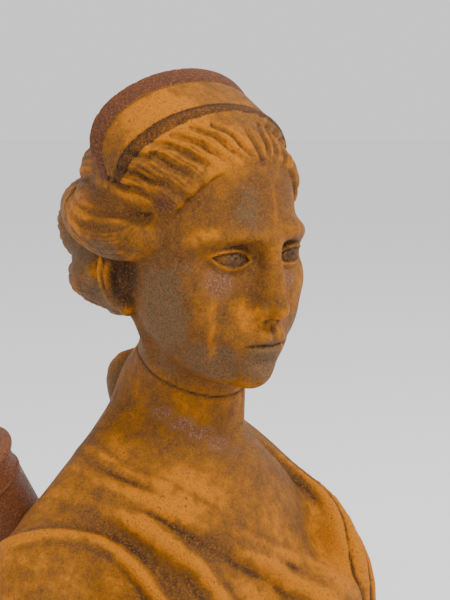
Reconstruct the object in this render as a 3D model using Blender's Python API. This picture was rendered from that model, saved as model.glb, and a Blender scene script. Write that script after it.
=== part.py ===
"""A cast iron garden bust of a huntress with a diadem: the head, the draped shoulders and the quiver.

The figure is worked out as a sculptor would: lumps of clay are set on a skull and a ribcage, smoothed
into each other, cut back for the eyes and folds, and the locks and folds are rolls laid on that surface.
Lengths of the figure are shares of the height of its head: 225 shares run from the chin to the crown.
The row's frame: metres, +Z up, the figure faces -Y, its right hand is at -X, z = 0 is the flat underside.
"""
import math

import bmesh
import bpy
import numpy as np
from mathutils import Euler, Matrix, Vector

# Driving dimensions, in metres and degrees
HEAD_HEIGHT = 0.225
JOINT_GAP = 0.0003
QUIVER_MOUTH_RADIUS = 0.038
QUIVER_FOOT_RADIUS = 0.031
QUIVER_WALL = 0.006
QUIVER_RIM_BEAD = 0.005
QUIVER_LENGTH = 0.33
QUIVER_BORE_DEPTH = 0.090
QUIVER_LEAN = 32.0
QUIVER_SIDES = 40

# The figure's own measure, and where its head sits on the shoulders
SHARE = HEAD_HEIGHT / 225
HEAD_AT = (0, -10, 410)
HEAD_NOD = 8
HEAD_TURN = -4
QUIVER_MOUTH_AT = (-150, 128, 222)
NECK_JOINT_AT = (0, 4, 298)
NECK_JOINT_TILT = 24

# The diadem, in shares of the head and degrees: an oval at its foot and another at its crest
DIADEM_AT = (0, 3.5, 63.7)
DIADEM_TILT = 65
DIADEM_FOOT_RADII = (84, 50)
DIADEM_CREST_RADII = (85, 63)
DIADEM_SETBACK = 10.5
DIADEM_HEIGHT = 53
DIADEM_FOOT = 4.4
DIADEM_WAIST = 3.6
DIADEM_CREST = 4.8
DIADEM_FOOT_HEIGHT = 4.5
DIADEM_CREST_HEIGHT = 13.0
DIADEM_END = 120

# How finely the figure is modelled, in shares, and the triangles left on each casting
CLAY_GRAIN = 4.5
FIGURE_TRIANGLES = 9000
CELL = 50.0


def turned(degrees):
    """The rotation of three angles about X, Y and Z, as a 3 by 3 array."""
    return np.array(Euler([math.radians(a) for a in degrees], "XYZ").to_matrix())


def mixed(a, b, soft):
    """The two distances joined, with a fillet as wide as soft."""
    if soft <= 0:
        return np.minimum(a, b)
    h = np.maximum(soft - np.abs(a - b), 0) / soft
    return np.minimum(a, b) - h * h * soft * 0.25


def eased(x):
    """A smooth step from 0 at x = 0 to 1 at x = 1."""
    x = np.clip(x, 0, 1)
    return x * x * (3 - 2 * x)


class Lump:
    """An egg of clay: centre, three half axes, a turn in degrees. With cut, it is scooped out."""

    def __init__(self, centre, radii, turn=(0, 0, 0), soft=8.0, cut=False):
        self.middle = np.array(centre, float)
        self.radii = np.ones(3) * radii
        self.turn = turned(turn)
        self.soft = soft
        self.cut = cut
        self.reach = self.radii.max()

    def near(self, centre, reach):
        """The whole lump, as it is small."""
        return self

    def distance(self, p):
        """How far each point lies outside the egg, below 0 inside."""
        a = (p - self.middle) @ self.turn / self.radii
        k0 = np.sqrt((a * a).sum(1))
        b = a / self.radii
        return k0 * (k0 - 1) / np.maximum(np.sqrt((b * b).sum(1)), 1e-9)

    def pellets(self):
        """The eggs that fill it: place, half axes and turn of each."""
        return [(self.middle, self.radii, self.turn)]


class Roll:
    """A roll of clay through points, with a radius at each. With cut, it is a groove."""

    def __init__(self, points, radii, soft=8.0, cut=False, bends=0):
        self.points = np.array(points, float)
        self.radii = np.ones(len(points)) * radii
        if bends:
            self.points, self.radii = curved(self.points, self.radii, bends)
        self.soft = soft
        self.cut = cut
        self.measure()

    def measure(self):
        """Works out the ball that holds the roll."""
        self.middle = (self.points.min(0) + self.points.max(0)) / 2
        self.reach = np.linalg.norm(self.points - self.middle, axis=1).max() + self.radii.max()

    def near(self, centre, reach):
        """Only the stretch of the roll that passes within reach of centre."""
        if len(self.points) < 5:
            return self
        close = np.linalg.norm(self.points - centre, axis=1) < reach + self.radii.max()
        if not close.any():
            return None
        rows = np.flatnonzero(close)
        first, last = max(rows[0] - 1, 0), min(rows[-1] + 2, len(self.points))
        part = Roll.__new__(Roll)
        part.points, part.radii = self.points[first:last], self.radii[first:last]
        part.soft, part.cut = self.soft, self.cut
        return part

    def distance(self, p):
        best = np.full(len(p), 1e9)
        for a, b, ra, rb in zip(self.points, self.points[1:], self.radii, self.radii[1:]):
            along = b - a
            away = p - a
            h = np.clip(away @ along / max(along @ along, 1e-9), 0, 1)
            away = away - h[:, None] * along
            best = np.minimum(best, np.sqrt((away * away).sum(1)) - (ra + (rb - ra) * h))
        return best

    def pellets(self):
        found = []
        for a, b, ra, rb in zip(self.points, self.points[1:], self.radii, self.radii[1:]):
            steps = max(1, int(np.linalg.norm(b - a) / (0.6 * min(ra, rb))))
            for i in range(steps + 1):
                t = i / steps
                found.append((a + (b - a) * t, np.ones(3) * (ra + (rb - ra) * t), np.eye(3)))
        return found


def curved(points, radii, bends):
    """A smooth curve through the points, with that many stretches between each two."""
    known = np.column_stack([points, radii])
    known = np.vstack([2 * known[0] - known[1], known, 2 * known[-1] - known[-2]])
    found = []
    for i in range(1, len(known) - 2):
        p0, p1, p2, p3 = known[i - 1 : i + 3]
        for step in range(bends):
            t = step / bends
            bow = (2 * p0 - 5 * p1 + 4 * p2 - p3) * t * t + (3 * p1 - p0 - 3 * p2 + p3) * t**3
            found.append(p1 + 0.5 * ((p2 - p0) * t + bow))
    found.append(known[-2])
    found = np.array(found)
    return found[:, :3], np.maximum(found[:, 3], 0.1)


class Clay:
    """Forms put on and scooped out in order. Called with points, it gives their distance to the surface."""

    def __init__(self, forms):
        self.forms = list(forms)
        self.middles = np.array([f.middle for f in self.forms])
        self.reaches = np.array([f.reach + f.soft for f in self.forms])

    def __call__(self, p):
        cells, which = np.unique(np.floor(p / CELL).astype(int), axis=0, return_inverse=True)
        order = np.argsort(which.ravel(), kind="stable")
        ends = np.searchsorted(which.ravel()[order], np.arange(len(cells) + 1))
        found = np.full(len(p), 1e3)
        for i, cell in enumerate(cells):
            rows = order[ends[i] : ends[i + 1]]
            found[rows] = self.in_cell((cell + 0.5) * CELL, p[rows])
        return found

    def in_cell(self, centre, p):
        reach = CELL * 0.87 + 20
        close = np.linalg.norm(self.middles - centre, axis=1) < self.reaches + reach
        d = np.full(len(p), 1e3)
        for index in np.flatnonzero(close):
            form = self.forms[index].near(centre, reach + self.forms[index].soft)
            if form is None:
                continue
            if form.cut:
                d = -mixed(-d, form.distance(p), form.soft)
            else:
                d = mixed(d, form.distance(p), form.soft)
        return d


def slope(surface, p, step=0.3):
    """The way straight out of the surface at each point, not yet of length 1."""
    corners = np.array([(1, -1, -1), (-1, -1, 1), (-1, 1, -1), (1, 1, 1)], float)
    return sum(surface(p + k * step)[:, None] * k for k in corners) / (4 * step)


def settled(surface, p, rounds=3, longest=8.0):
    """The points moved along the slope until they lie on the surface."""
    for _ in range(rounds):
        d = surface(p)
        g = slope(surface, p)
        move = -d[:, None] * g / np.maximum((g * g).sum(1), 0.05)[:, None]
        length = np.maximum(np.linalg.norm(move, axis=1), 1e-9)
        p = p + move * (np.minimum(length, longest) / length)[:, None]
    return p


def laid(surface, points, lift=0.0):
    """Points brought onto the surface, then lifted off it by that much."""
    p = settled(surface, np.array(points, float), rounds=8, longest=12.0)
    g = slope(surface, p, 1.0)
    g /= np.maximum(np.linalg.norm(g, axis=1), 1e-9)[:, None]
    return p + g * np.reshape(lift, (-1, 1))


def from_head(points):
    """Places in the head's own frame, seen from the shoulders' frame, in shares."""
    return np.array(points, float) @ turned((HEAD_NOD, 0, HEAD_TURN)).T + HEAD_AT


def into_head(p):
    """Places in the shoulders' frame, seen from the head, with its two halves folded together."""
    q = (p - HEAD_AT) @ turned((HEAD_NOD, 0, HEAD_TURN))
    q[:, 0] = np.abs(q[:, 0])
    return q


def skull_forms():
    """The bare head: origin between the eyes' line and the ears, face at -Y, 225 from chin to crown."""
    return [
        Lump((0, 8, 28), (73, 92, 82), soft=0),
        Lump((0, -22, -30), (58, 63, 84), soft=22),
        Lump((50, -22, -18), (18, 36, 42), soft=22),
        Roll([(0, -72, -96), (22, -58, -94), (40, -30, -78),
        (53, -2, -40)], [15, 14, 14, 13], 20, bends=3),
        Lump((0, -80, -95), (16, 15, 14), soft=14),
        Lump((32, -56, -50), (27, 24, 34), soft=22),
        Lump((43, -54, -24), (19, 16, 15), soft=18),
        Roll([(5, -84, 14), (28, -82, 19), (50, -65, 15), (62, -44, 4)], [6, 6.5, 5.5, 3], 16, bends=3),
        Lump((26, -95, 2), (17, 16, 11), soft=14, cut=True),
    ]


def eye_forms():
    """The eyeball and the two lids round it."""
    return [
        Lump((31.5, -66.5, 0), 14.5, soft=5),
        Roll([(16, -81, -1.5), (24, -82.5, 5.8), (36, -80.5, 6.2), (47, -70, -1)], 2.3, 3, bends=4),
        Roll([(16, -81, -1.5), (24, -81.5, -5.2), (36, -79.5, -5.6), (47, -70, -1)], 1.9, 3, bends=4),
    ]


def nose_and_mouth_forms():
    """Bridge, tip and wings of the nose, and the two lips on the muzzle."""
    return [
        Lump((0, -88, -28), (13, 12, 24), soft=9),
        Roll([(0, -86, 14), (0, -95, -14), (0, -103, -36)], 6.5, 9),
        Lump((0, -103.5, -39), (7.5, 8.5, 7), soft=7),
        Lump((9.5, -92, -41), (5.5, 9, 6), soft=7),
        Lump((0, -77, -68), (30, 21, 24), soft=16),
        Roll([(0, -96, -64.5), (8, -96.5, -63.5), (21, -88, -69)], [5.6, 5.6, 2.4], 4, bends=3),
        Roll([(0, -94, -76), (8, -93.5, -75.5), (19, -87, -71)], [7.2, 6.4, 2.4], 4, bends=3),
        Roll([(0, -103, -70.4), (12, -99.5, -69.6),
        (23, -90, -70.6)], [1.6, 1.5, 1.2], 2, cut=True, bends=3),
        Lump((0, -102, -84.5), (16, 6, 4.5), soft=8, cut=True),
    ]


def ear_forms():
    """The lower half of the ear, which shows below the hair: its hollow and its lobe."""
    return [
        Lump((67, 25, -34), (9, 19, 29), turn=(-12, 0, 0), soft=5),
        Lump((77, 21, -34), (6, 8, 13), turn=(-12, 0, 0), soft=3, cut=True),
        Lump((66, 10, -58), (6, 8, 8), soft=4),
    ]


class Band:
    """The diadem's wall: it stands on an oval round the hair, opens to a wider one at its crest, and dies
    away behind the temples."""

    def __init__(self):
        self.middle = np.array(DIADEM_AT, float)
        tilt = math.radians(DIADEM_TILT)
        self.axis = np.array([0, math.sin(tilt), math.cos(tilt)])
        self.front = np.array([0, -math.cos(tilt), math.sin(tilt)])
        self.soft = 2.5
        self.cut = False
        self.reach = max(DIADEM_CREST_RADII) + DIADEM_HEIGHT + DIADEM_CREST

    def near(self, centre, reach):
        """The whole wall."""
        return self

    def ring(self, h):
        """Width and depth of the oval at a share of the height."""
        return [foot + (crest - foot) * h for foot, crest in zip(DIADEM_FOOT_RADII, DIADEM_CREST_RADII)]

    def thick(self, h, top):
        """Half the wall's thickness at a share of the height, with a bead at the foot and the crest."""
        foot = eased((DIADEM_FOOT_HEIGHT - h * DIADEM_HEIGHT) / DIADEM_FOOT_HEIGHT)
        crest = eased((DIADEM_CREST_HEIGHT - (top - h) * DIADEM_HEIGHT) / DIADEM_CREST_HEIGHT) * eased(top)
        bead = (DIADEM_FOOT - DIADEM_WAIST) * foot
        return DIADEM_WAIST * eased(0.4 + top) + np.maximum(bead, (DIADEM_CREST - DIADEM_WAIST) * crest)

    def distance(self, p):
        """How far each point of the head's frame lies outside the wall, below 0 inside."""
        q = p - self.middle
        along, ahead, x = q @ self.axis, q @ self.front, np.abs(q[:, 0])
        a, b = self.ring(0.5)
        round_at = np.arctan2(x / a, (ahead + DIADEM_SETBACK * 0.5) / b)
        top = 1 - np.clip(round_at / math.radians(DIADEM_END), 0, 1) ** 6
        h = np.clip(along / DIADEM_HEIGHT, 0, top)
        a, b = self.ring(h)
        ahead = ahead + DIADEM_SETBACK * h
        k = np.hypot(x / a, ahead / b)
        out = k * (k - 1) / np.maximum(np.hypot(x / a**2, ahead / b**2), 1e-6)
        return np.hypot(out, along - h * DIADEM_HEIGHT) - self.thick(h, top)

    def pellets(self):
        """Balls that fill one half of the wall."""
        found = []
        for degrees in range(0, DIADEM_END, 4):
            top = 1 - (degrees / DIADEM_END) ** 6
            for h in np.linspace(0, top, 10):
                a, b = self.ring(h)
                ahead = math.cos(math.radians(degrees)) * b - DIADEM_SETBACK * h
                centre = self.middle + self.axis * h * DIADEM_HEIGHT + self.front * ahead
                radius = float(self.thick(h, np.array(top)))
                side = math.sin(math.radians(degrees)) * a
                found.append((centre + (side, 0, 0), np.ones(3) * radius, np.eye(3)))
        return found


def hair_creases(surface):
    """The grooves between the locks, from the parting to the bun."""
    parting = [(0, -71, 77), (0, -60, 90), (0, -44, 104)]
    locks = [
        [(27, -34, 103), (17, -47, 98), (14, -60, 89), (6, -71, 80)],
        [(43, -28, 99), (30, -40, 94), (25, -54, 85), (14, -69, 77)],
        [(58, -20, 91), (44, -34, 88), (38, -48, 80), (27, -63, 72)],
        [(70, -11, 83), (57, -26, 81), (50, -41, 74), (39, -56, 66)],
        [(80, -2, 72), (68, -16, 71), (61, -32, 64), (50, -48, 58)],
        [(85, 8, 60), (77, -4, 59), (69, -22, 54), (59, -40, 50)],
        [(86, 22, 49), (80, 6, 47), (74, -11, 43), (66, -30, 40)],
    ]
    deep = [(60, 76, 30), (72, 46, 26), (77, 22, 26), (76, 2, 26), (71, -16, 31), (63, -34, 38)]
    over_ear = [
        [(66, -18, 26), (79, 3, 20), (92, 32, 20), (90, 58, 24), (70, 80, 27)],
        [(66, -18, 24), (78, 2, 10), (92, 32, 8), (90, 58, 14), (70, 76, 23)],
        [(66, -18, 22), (77, 1, 0), (92, 32, -4), (90, 58, 4), (70, 72, 19)],
    ]
    round_bun = [
        [(40, 84, 20), (30, 122, 26), (0, 140, 20)],
        [(56, 100, 10), (46, 132, 6), (20, 152, 0), (0, 154, -4)],
        [(58, 98, -12), (46, 130, -20), (20, 148, -26), (0, 150, -30)],
        [(44, 104, -38), (26, 126, -44), (0, 136, -48)],
    ]
    nape = [
        [(56, 60, -44), (44, 96, -46), (20, 124, -52), (0, 130, -54)],
        [(60, 50, -58), (46, 92, -66), (20, 118, -76), (0, 122, -80)],
        [(50, 44, -76), (36, 76, -82), (14, 96, -92), (0, 98, -94)],
    ]
    creases = [Crease(surface, parting, 6, -3.5, blunt=True), Crease(surface, deep, 12, -4.2)]
    creases += [Crease(surface, route, 6.5, -4) for route in locks]
    creases += [Crease(surface, route, 7, -3) for route in over_ear + round_bun + nape]
    return creases


def hair_masses():
    """The hair as big soft masses: cap, waves from the parting, rolls over the ears, bun and nape."""
    swag = [(38, -50, 68), (54, -36, 53), (65, -18, 39), (71, 4, 34), (71, 34, 36), (58, 66, 38)]
    over_ear = [(62, -24, 24), (70, -8, 10), (74, 18, 3), (72, 50, 9), (46, 92, 9)]
    under_swag = [(62, -28, 36), (70, -4, 27), (74, 30, 26), (66, 64, 26)]
    under_diadem = [(0, -17, 103), (39, -15, 98), (67, -8, 83), (76, -2, 70), (76, 5, 56), (69, 11, 44)]
    return [
        Lump((0, 6, 32), (79, 91, 79), soft=0),
        Lump((0, 20, 33), (77, 97, 82), soft=6),
        Lump((44, 8, 58), (41, 48, 27), soft=16),
        Lump((0, 40, 58), (78, 56, 50), soft=14),
        Roll(under_diadem, 9, 10, bends=3),
        Roll(swag, [8, 11, 13, 14, 14, 12], 12, bends=3),
        Lump((0, -62, 3), (72, 82, 74), soft=5, cut=True),
        Lump((0, 66, -30), (56, 44, 50), soft=8),
        Lump((45, 62, 46), (30, 34, 26), soft=12),
        Lump((67, 20, 12), (25, 54, 29), turn=(8, 0, 0), soft=5),
        Roll(over_ear, [5, 14, 22, 26, 28], 7, bends=3),
        Roll(under_swag, [5, 11, 13, 12], 6, bends=3),
        Lump((0, 118, -12), (57, 38, 42), soft=10),
        Roll([(0, 104, -48), (34, 90, -50), (52, 66, -44)], [30, 28, 15], 12, bends=3),
        Roll([(0, 78, -66), (26, 68, -66), (46, 46, -60)], [20, 18, 11], 12, bends=3),
    ]


def neck_forms():
    """The neck and its two cords."""
    return [
        Roll([(0, -1, 372), (0, 0, 300), (0, 9, 240), (0, 17, 196)], [44, 46, 51, 66], 26, bends=3),
        Roll(np.vstack([from_head([(58, 24, -40)]), [(13, -31, 232)]]), [9, 7], 14),
        Roll(np.vstack([from_head([(-58, 24, -40)]), [(-13, -31, 232)]]), [9, 7], 14),
    ]


def shoulder_forms():
    """Ribcage, trapezius, breasts and the stumps of the arms, in the shoulders' frame."""
    forms = [Lump((0, 14, 106), (138, 98, 140), soft=0), Lump((0, 8, 10), (124, 88, 130), soft=20)]
    for side, drop in ((-1, 0), (1, 5)):
        neck_to_shoulder = [(0, 40, 278), (side * 60, 34, 227 - drop), (side * 132, 22, 172 - drop * 3)]
        forms += [
            Roll(neck_to_shoulder, [28, 26, 31], 26, bends=3),
            Lump((side * 76, -66, 70), (54, 48, 50), soft=24),
        ]
    return forms + [
        Roll([(-164, 6, 144), (-176, -16, 82), (-178, -28, -20)], [43, 47, 45], 22, bends=3),
        Roll([(143, 4, 116), (164, -4, 78), (176, -8, -20)], [41, 44, 48], 22, bends=3),
        Roll([(-120, 18, 140), (-128, 6, -20)], [42, 54], 26),
        Roll([(112, 18, 130), (126, 4, -20)], [40, 54], 26),
    ]


def dress_masses():
    """The thick cloth gathered on the left shoulder, and the tress that lies on the nape."""
    bundle = [
        (48, 60, 220), (76, 28, 208), (105, -3, 182), (128, -38, 148), (134, -66, 100),
        (128, -74, 50), (120, -68, -10),
    ]
    return [
        Roll(bundle, [14, 18, 19, 20, 22, 25, 28], 16, bends=3),
        Roll([(0, 72, 294), (-2, 81, 280), (0, 79, 258), (0, 70, 230)], [10, 18, 19, 14], 6, bends=3),
    ]


class Crease:
    """A ridge or furrow along a route on a surface: so wide each way, so high, dying away at its ends."""

    def __init__(self, surface, points, wide, high, bends=4, blunt=False):
        count = len(points)
        t = np.linspace(0, 1, count)
        swell = np.ones(count) if blunt else np.sqrt(np.sin(np.pi * np.clip(t, 0.03, 0.97)))
        route, self.swell = curved(np.array(points, float), swell, bends)
        self.points = laid(surface, route)
        self.wide = wide
        self.high = high
        self.middle = (self.points.min(0) + self.points.max(0)) / 2
        self.reach = np.linalg.norm(self.points - self.middle, axis=1).max() + wide

    def heights(self, p):
        """How far it lifts each point."""
        found = np.zeros(len(p))
        rows = np.flatnonzero(np.linalg.norm(p - self.middle, axis=1) < self.reach)
        if not len(rows):
            return found
        q = p[rows]
        nearest = np.full(len(q), 1e9)
        swell = np.zeros(len(q))
        for a, b, sa, sb in zip(self.points, self.points[1:], self.swell, self.swell[1:]):
            along = b - a
            h = np.clip((q - a) @ along / max(along @ along, 1e-9), 0, 1)
            away = np.linalg.norm(q - a - h[:, None] * along, axis=1)
            closer = away < nearest
            nearest = np.where(closer, away, nearest)
            swell = np.where(closer, sa + (sb - sa) * h, swell)
        found[rows] = self.high * swell * np.maximum(1 - (nearest / self.wide) ** 2, 0) ** 2
        return found


def relief(creases, p):
    """How far all the ridges and furrows lift each point."""
    return sum((crease.heights(p) for crease in creases), np.zeros(len(p)))


# Routes of the dress's hems and folds on the shoulders, in shares
NECKLINE = [
    (-84, 51, 226), (-91, 13, 226), (-73, -24, 212), (-47, -57, 190), (-12, -76, 163),
    (36, -80, 136), (76, -82, 125),
]
LEFT_NECKLINE = [
    (40, 46, 238), (58, 0, 232), (88, -24, 212), (108, -44, 184), (112, -58, 156), (104, -70, 136),
]
RIDGES = [
    [(-108, 40, 208), (-101, -2, 209), (-70, -44, 194), (-19, -77, 153), (23, -86, 127),
     (60, -108, 97), (90, -108, 52)],
    [(-126, 30, 198), (-104, -16, 193), (-80, -54, 166), (-52, -86, 130), (-20, -100, 92),
     (20, -92, 50), (50, -86, 0)],
    [(-98, -55, 129), (-84, -84, 100), (-66, -112, 64), (-40, -100, 20), (-26, -84, 0)],
]
VALLEYS = [
    [(-96, 30, 216), (-87, -4, 217), (-72, -31, 206), (-52, -55, 191), (-28, -72, 166),
     (10, -79, 146), (50, -88, 122)],
    [(-112, 10, 202), (-87, -32, 193), (-51, -67, 164), (-21, -80, 141), (15, -88, 112), (50, -102, 76)],
    [(-90, -50, 160), (-72, -80, 128), (-44, -104, 84), (-12, -92, 40), (0, -84, 0)],
]
SLEEVE = [
    (-168, 50, 160), (-189, 26, 173), (-185, 3, 184), (-154, -20, 186), (-116, -29, 164),
    (-98, -55, 129),
    (-96, -74, 96), (-110, -76, 40),
]
SLEEVE_VALLEY = [(-143, -10, 190), (-119, -18, 181), (-106, -32, 168), (-96, -47, 155),
                 (-86, -61, 136), (-82, -78, 112)]


def dress_creases(surface):
    """The folds of the dress: hems and ridges stand up, valleys lie beside them."""
    creases = [Crease(surface, route, 14, -5.5) for route in VALLEYS]
    creases += [Crease(surface, route, 14, 5) for route in RIDGES]
    creases += [Crease(surface, SLEEVE_VALLEY, 13, -5), Crease(surface, SLEEVE, 10, 5)]
    creases += [Crease(surface, NECKLINE, 9, 4), Crease(surface, LEFT_NECKLINE, 11, -5)]
    for inward in (-9, 1, 11):
        route = [(84 + inward, 36, 230), (118 + inward, -4, 206), (146 + inward, -40, 162),
                 (146 + inward, -70, 110),
                 (136 + inward, -90, 50), (128 + inward, -96, 0)]
        creases.append(Crease(surface, route, 7, -4))
    return creases


def points_of(mesh):
    flat = np.empty(len(mesh.vertices) * 3, np.float32)
    mesh.vertices.foreach_get("co", flat)
    return flat.reshape(-1, 3).astype(float)


def set_points(mesh, p):
    mesh.vertices.foreach_set("co", p.astype(np.float32).ravel())
    mesh.update()


def pellet_mesh(roundness):
    ball = bmesh.new()
    bmesh.ops.create_icosphere(ball, subdivisions=roundness, radius=1)
    mesh = bpy.data.meshes.new("pellet")
    ball.to_mesh(mesh)
    ball.free()
    return mesh


def press_on(heap, forms, place=None, mirrored=False):
    """Adds the pellets of the forms to a heap of clay, overlapping, in shares."""
    ball = pellet_mesh(2)
    round_points = points_of(ball)
    mirror = np.diag([-1, 1, 1])
    for form in forms:
        for centre, radii, turn in () if form.cut else form.pellets():
            p = (round_points * radii) @ turn.T + centre
            for side in (1, -1) if mirrored and abs(centre[0]) > 0.1 else (1,):
                q = p if side > 0 else (round_points * radii) @ (mirror @ turn @ mirror).T + mirror @ centre
                set_points(ball, q if place is None else place(q))
                heap.from_mesh(ball)
    bpy.data.meshes.remove(ball)


def linked(name, mesh):
    thing = bpy.data.objects.new(name, mesh)
    bpy.context.scene.collection.objects.link(thing)
    return thing


def applied(thing):
    """Turns the modified mesh of an object into its own mesh."""
    graph = bpy.context.evaluated_depsgraph_get()
    finished = bpy.data.meshes.new_from_object(thing.evaluated_get(graph))
    thing.modifiers.clear()
    worn, thing.data = thing.data, finished
    bpy.data.meshes.remove(worn)
    return thing


def kneaded(thing, grain):
    """One even skin round everything that overlaps."""
    skin = thing.modifiers.new("knead", "REMESH")
    skin.mode = "VOXEL"
    skin.voxel_size = grain
    return applied(thing)


def under_plane(thing, at, normal):
    """Cuts a closed thing flat, closes the cut, and keeps what lies behind the plane."""
    clay = bmesh.new()
    clay.from_mesh(thing.data)
    everything = clay.verts[:] + clay.edges[:] + clay.faces[:]
    bmesh.ops.bisect_plane(clay, geom=everything, plane_co=at, plane_no=normal, clear_outer=True, dist=1e-7)
    bmesh.ops.holes_fill(clay, edges=[edge for edge in clay.edges if edge.is_boundary])
    bmesh.ops.triangulate(clay, faces=[face for face in clay.faces if len(face.verts) > 4])
    bmesh.ops.recalc_face_normals(clay, faces=clay.faces)
    clay.to_mesh(thing.data)
    clay.free()
    return thing


def cut_with(thing, mesh, operation):
    """A boolean with a mesh that is thrown away afterwards."""
    cutter = linked("cutter", mesh)
    cutter.hide_render = True
    cutter.display_type = "WIRE"
    cut = thing.modifiers.new("cut", "BOOLEAN")
    cut.operation = operation
    cut.object = cutter
    applied(thing)
    bpy.data.objects.remove(cutter)
    bpy.data.meshes.remove(mesh)
    return thing


def face_forms():
    return skull_forms() + eye_forms() + nose_and_mouth_forms() + ear_forms()


def modelled_figure():
    """The whole figure in one skin, in metres, with its triangles spent where the form is richest."""
    skull, hair, diadem = Clay(face_forms()), Clay(hair_masses()), Clay([Band()])
    shoulders = Clay(shoulder_forms() + dress_masses() + neck_forms())

    def figure(p):
        q = into_head(p)
        head = mixed(mixed(skull(q), hair(q), 3.0), diadem(q), 3.0)
        return mixed(head, shoulders(p), 12.0)

    heap = bmesh.new()
    press_on(heap, face_forms() + hair_masses() + [Band()], from_head, mirrored=True)
    press_on(heap, shoulder_forms() + dress_masses() + neck_forms())
    mesh = bpy.data.meshes.new("figure")
    heap.to_mesh(mesh)
    heap.free()
    thing = kneaded(linked("figure", mesh), CLAY_GRAIN)
    p = settled(figure, points_of(thing.data))
    out = slope(figure, p, 1.0)
    out /= np.linalg.norm(out, axis=1)[:, None]
    lift = relief(dress_creases(shoulders), p) + relief(hair_creases(hair), into_head(p))
    set_points(thing.data, (p + out * lift[:, None]) * SHARE)
    thin = thing.modifiers.new("thin", "DECIMATE")
    thin.ratio = FIGURE_TRIANGLES / (2 * len(thing.data.polygons))
    return applied(thing)


def quiver_axis():
    """The way up out of the quiver's mouth."""
    lean = math.radians(QUIVER_LEAN)
    return Vector((-math.sin(lean), 0, math.cos(lean)))


def quiver_mesh(clearance=0.0, hollow=True):
    """A turned tube with a round bead at its mouth, placed on the back. Its foot runs below z = 0."""
    mouth, foot = QUIVER_MOUTH_RADIUS + clearance, QUIVER_FOOT_RADIUS + clearance
    bead = [
        (mouth - QUIVER_WALL / 2 + (QUIVER_WALL / 2 + QUIVER_RIM_BEAD) * math.sin(a),
         -QUIVER_RIM_BEAD + QUIVER_RIM_BEAD * math.cos(a))
        for a in np.radians(np.arange(0, 181, 30))
    ]
    outline = [(0, -QUIVER_LENGTH), (foot, -QUIVER_LENGTH), (mouth, -3 * QUIVER_RIM_BEAD)] + bead[::-1]
    if hollow:
        bore = mouth - QUIVER_WALL
        bore_foot = bore - (mouth - foot) * QUIVER_BORE_DEPTH / QUIVER_LENGTH
        outline += [(bore, -QUIVER_RIM_BEAD), (bore_foot, QUIVER_RIM_BEAD - QUIVER_BORE_DEPTH),
                    (bore_foot - QUIVER_RIM_BEAD, -QUIVER_BORE_DEPTH), (0, -QUIVER_BORE_DEPTH)]
    else:
        outline += [(0, 0)]
    tube = bmesh.new()
    verts = [tube.verts.new((x, 0, z)) for x, z in outline]
    edges = [tube.edges.new(pair) for pair in zip(verts, verts[1:])]
    bmesh.ops.spin(tube, geom=verts + edges, axis=(0, 0, 1), cent=(0, 0, 0), angle=2 * math.pi,
                   steps=QUIVER_SIDES, use_merge=True)
    bmesh.ops.remove_doubles(tube, verts=tube.verts, dist=1e-6)
    bmesh.ops.recalc_face_normals(tube, faces=tube.faces)
    turn = Vector((0, 0, 1)).rotation_difference(quiver_axis()).to_matrix()
    bmesh.ops.rotate(tube, verts=tube.verts, matrix=turn)
    bmesh.ops.translate(tube, verts=tube.verts, vec=Vector(QUIVER_MOUTH_AT) * SHARE)
    mesh = bpy.data.meshes.new("quiver")
    tube.to_mesh(mesh)
    tube.free()
    return mesh


def rusted_iron(name, colour, roughness):
    finish = bpy.data.materials.new(name)
    finish.use_nodes = True
    shader = finish.node_tree.nodes["Principled BSDF"]
    shader.inputs["Base Color"].default_value = (*colour, 1)
    shader.inputs["Roughness"].default_value = roughness
    shader.inputs["Metallic"].default_value = 0.35
    return finish


def dressed(thing, name, finish):
    thing.name = name
    thing.data.name = name
    thing.data.materials.clear()
    thing.data.materials.append(finish)
    thing.data.shade_smooth()
    thing.data.set_sharp_from_angle(angle=math.radians(50))


def main():
    for old in list(bpy.data.objects):
        bpy.data.objects.remove(old)
    figure = modelled_figure()
    joint = Vector(NECK_JOINT_AT) * SHARE
    tilt = math.radians(NECK_JOINT_TILT)
    across = Vector((0, -math.sin(tilt), math.cos(tilt)))
    head = figure.copy()
    head.data = figure.data.copy()
    bpy.context.scene.collection.objects.link(head)
    under_plane(head, joint, -across)
    body = under_plane(figure, joint - across * JOINT_GAP, across)
    under_plane(body, (0, 0, 0), (0, 0, -1))
    cut_with(body, quiver_mesh(JOINT_GAP, hollow=False), "DIFFERENCE")
    quiver = under_plane(linked("quiver", quiver_mesh()), (0, 0, 0), (0, 0, -1))
    dressed(head, "head", rusted_iron("head iron", (0.45, 0.21, 0.06), 0.62))
    dressed(body, "body", rusted_iron("body iron", (0.50, 0.25, 0.06), 0.62))
    dressed(quiver, "quiver", rusted_iron("quiver iron", (0.24, 0.08, 0.04), 0.6))


if __name__ == "__main__":
    main()
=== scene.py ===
"""The looks of a cast iron garden bust: a huntress with a diadem and a quiver, rusted out of doors.

The figure is modelled as clay: lumps and rolls are pressed together on a skull and a ribcage, kneaded into
one skin, settled onto their smooth outline, and then carved with locks, lids, hems and folds. The skin is
sawn at the neck, as the two castings meet there, and the quiver is turned on a lathe. Lengths of the figure
are shares of its head: 225 shares run from the chin to the crown. It faces -Y and its right hand is at -X.
"""
import logging
import math
from dataclasses import dataclass, field
from enum import Enum
from typing import Callable, Iterable, Optional, Sequence

import bmesh
import bpy
import numpy as np
from mathutils import Euler, Matrix, Vector


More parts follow.
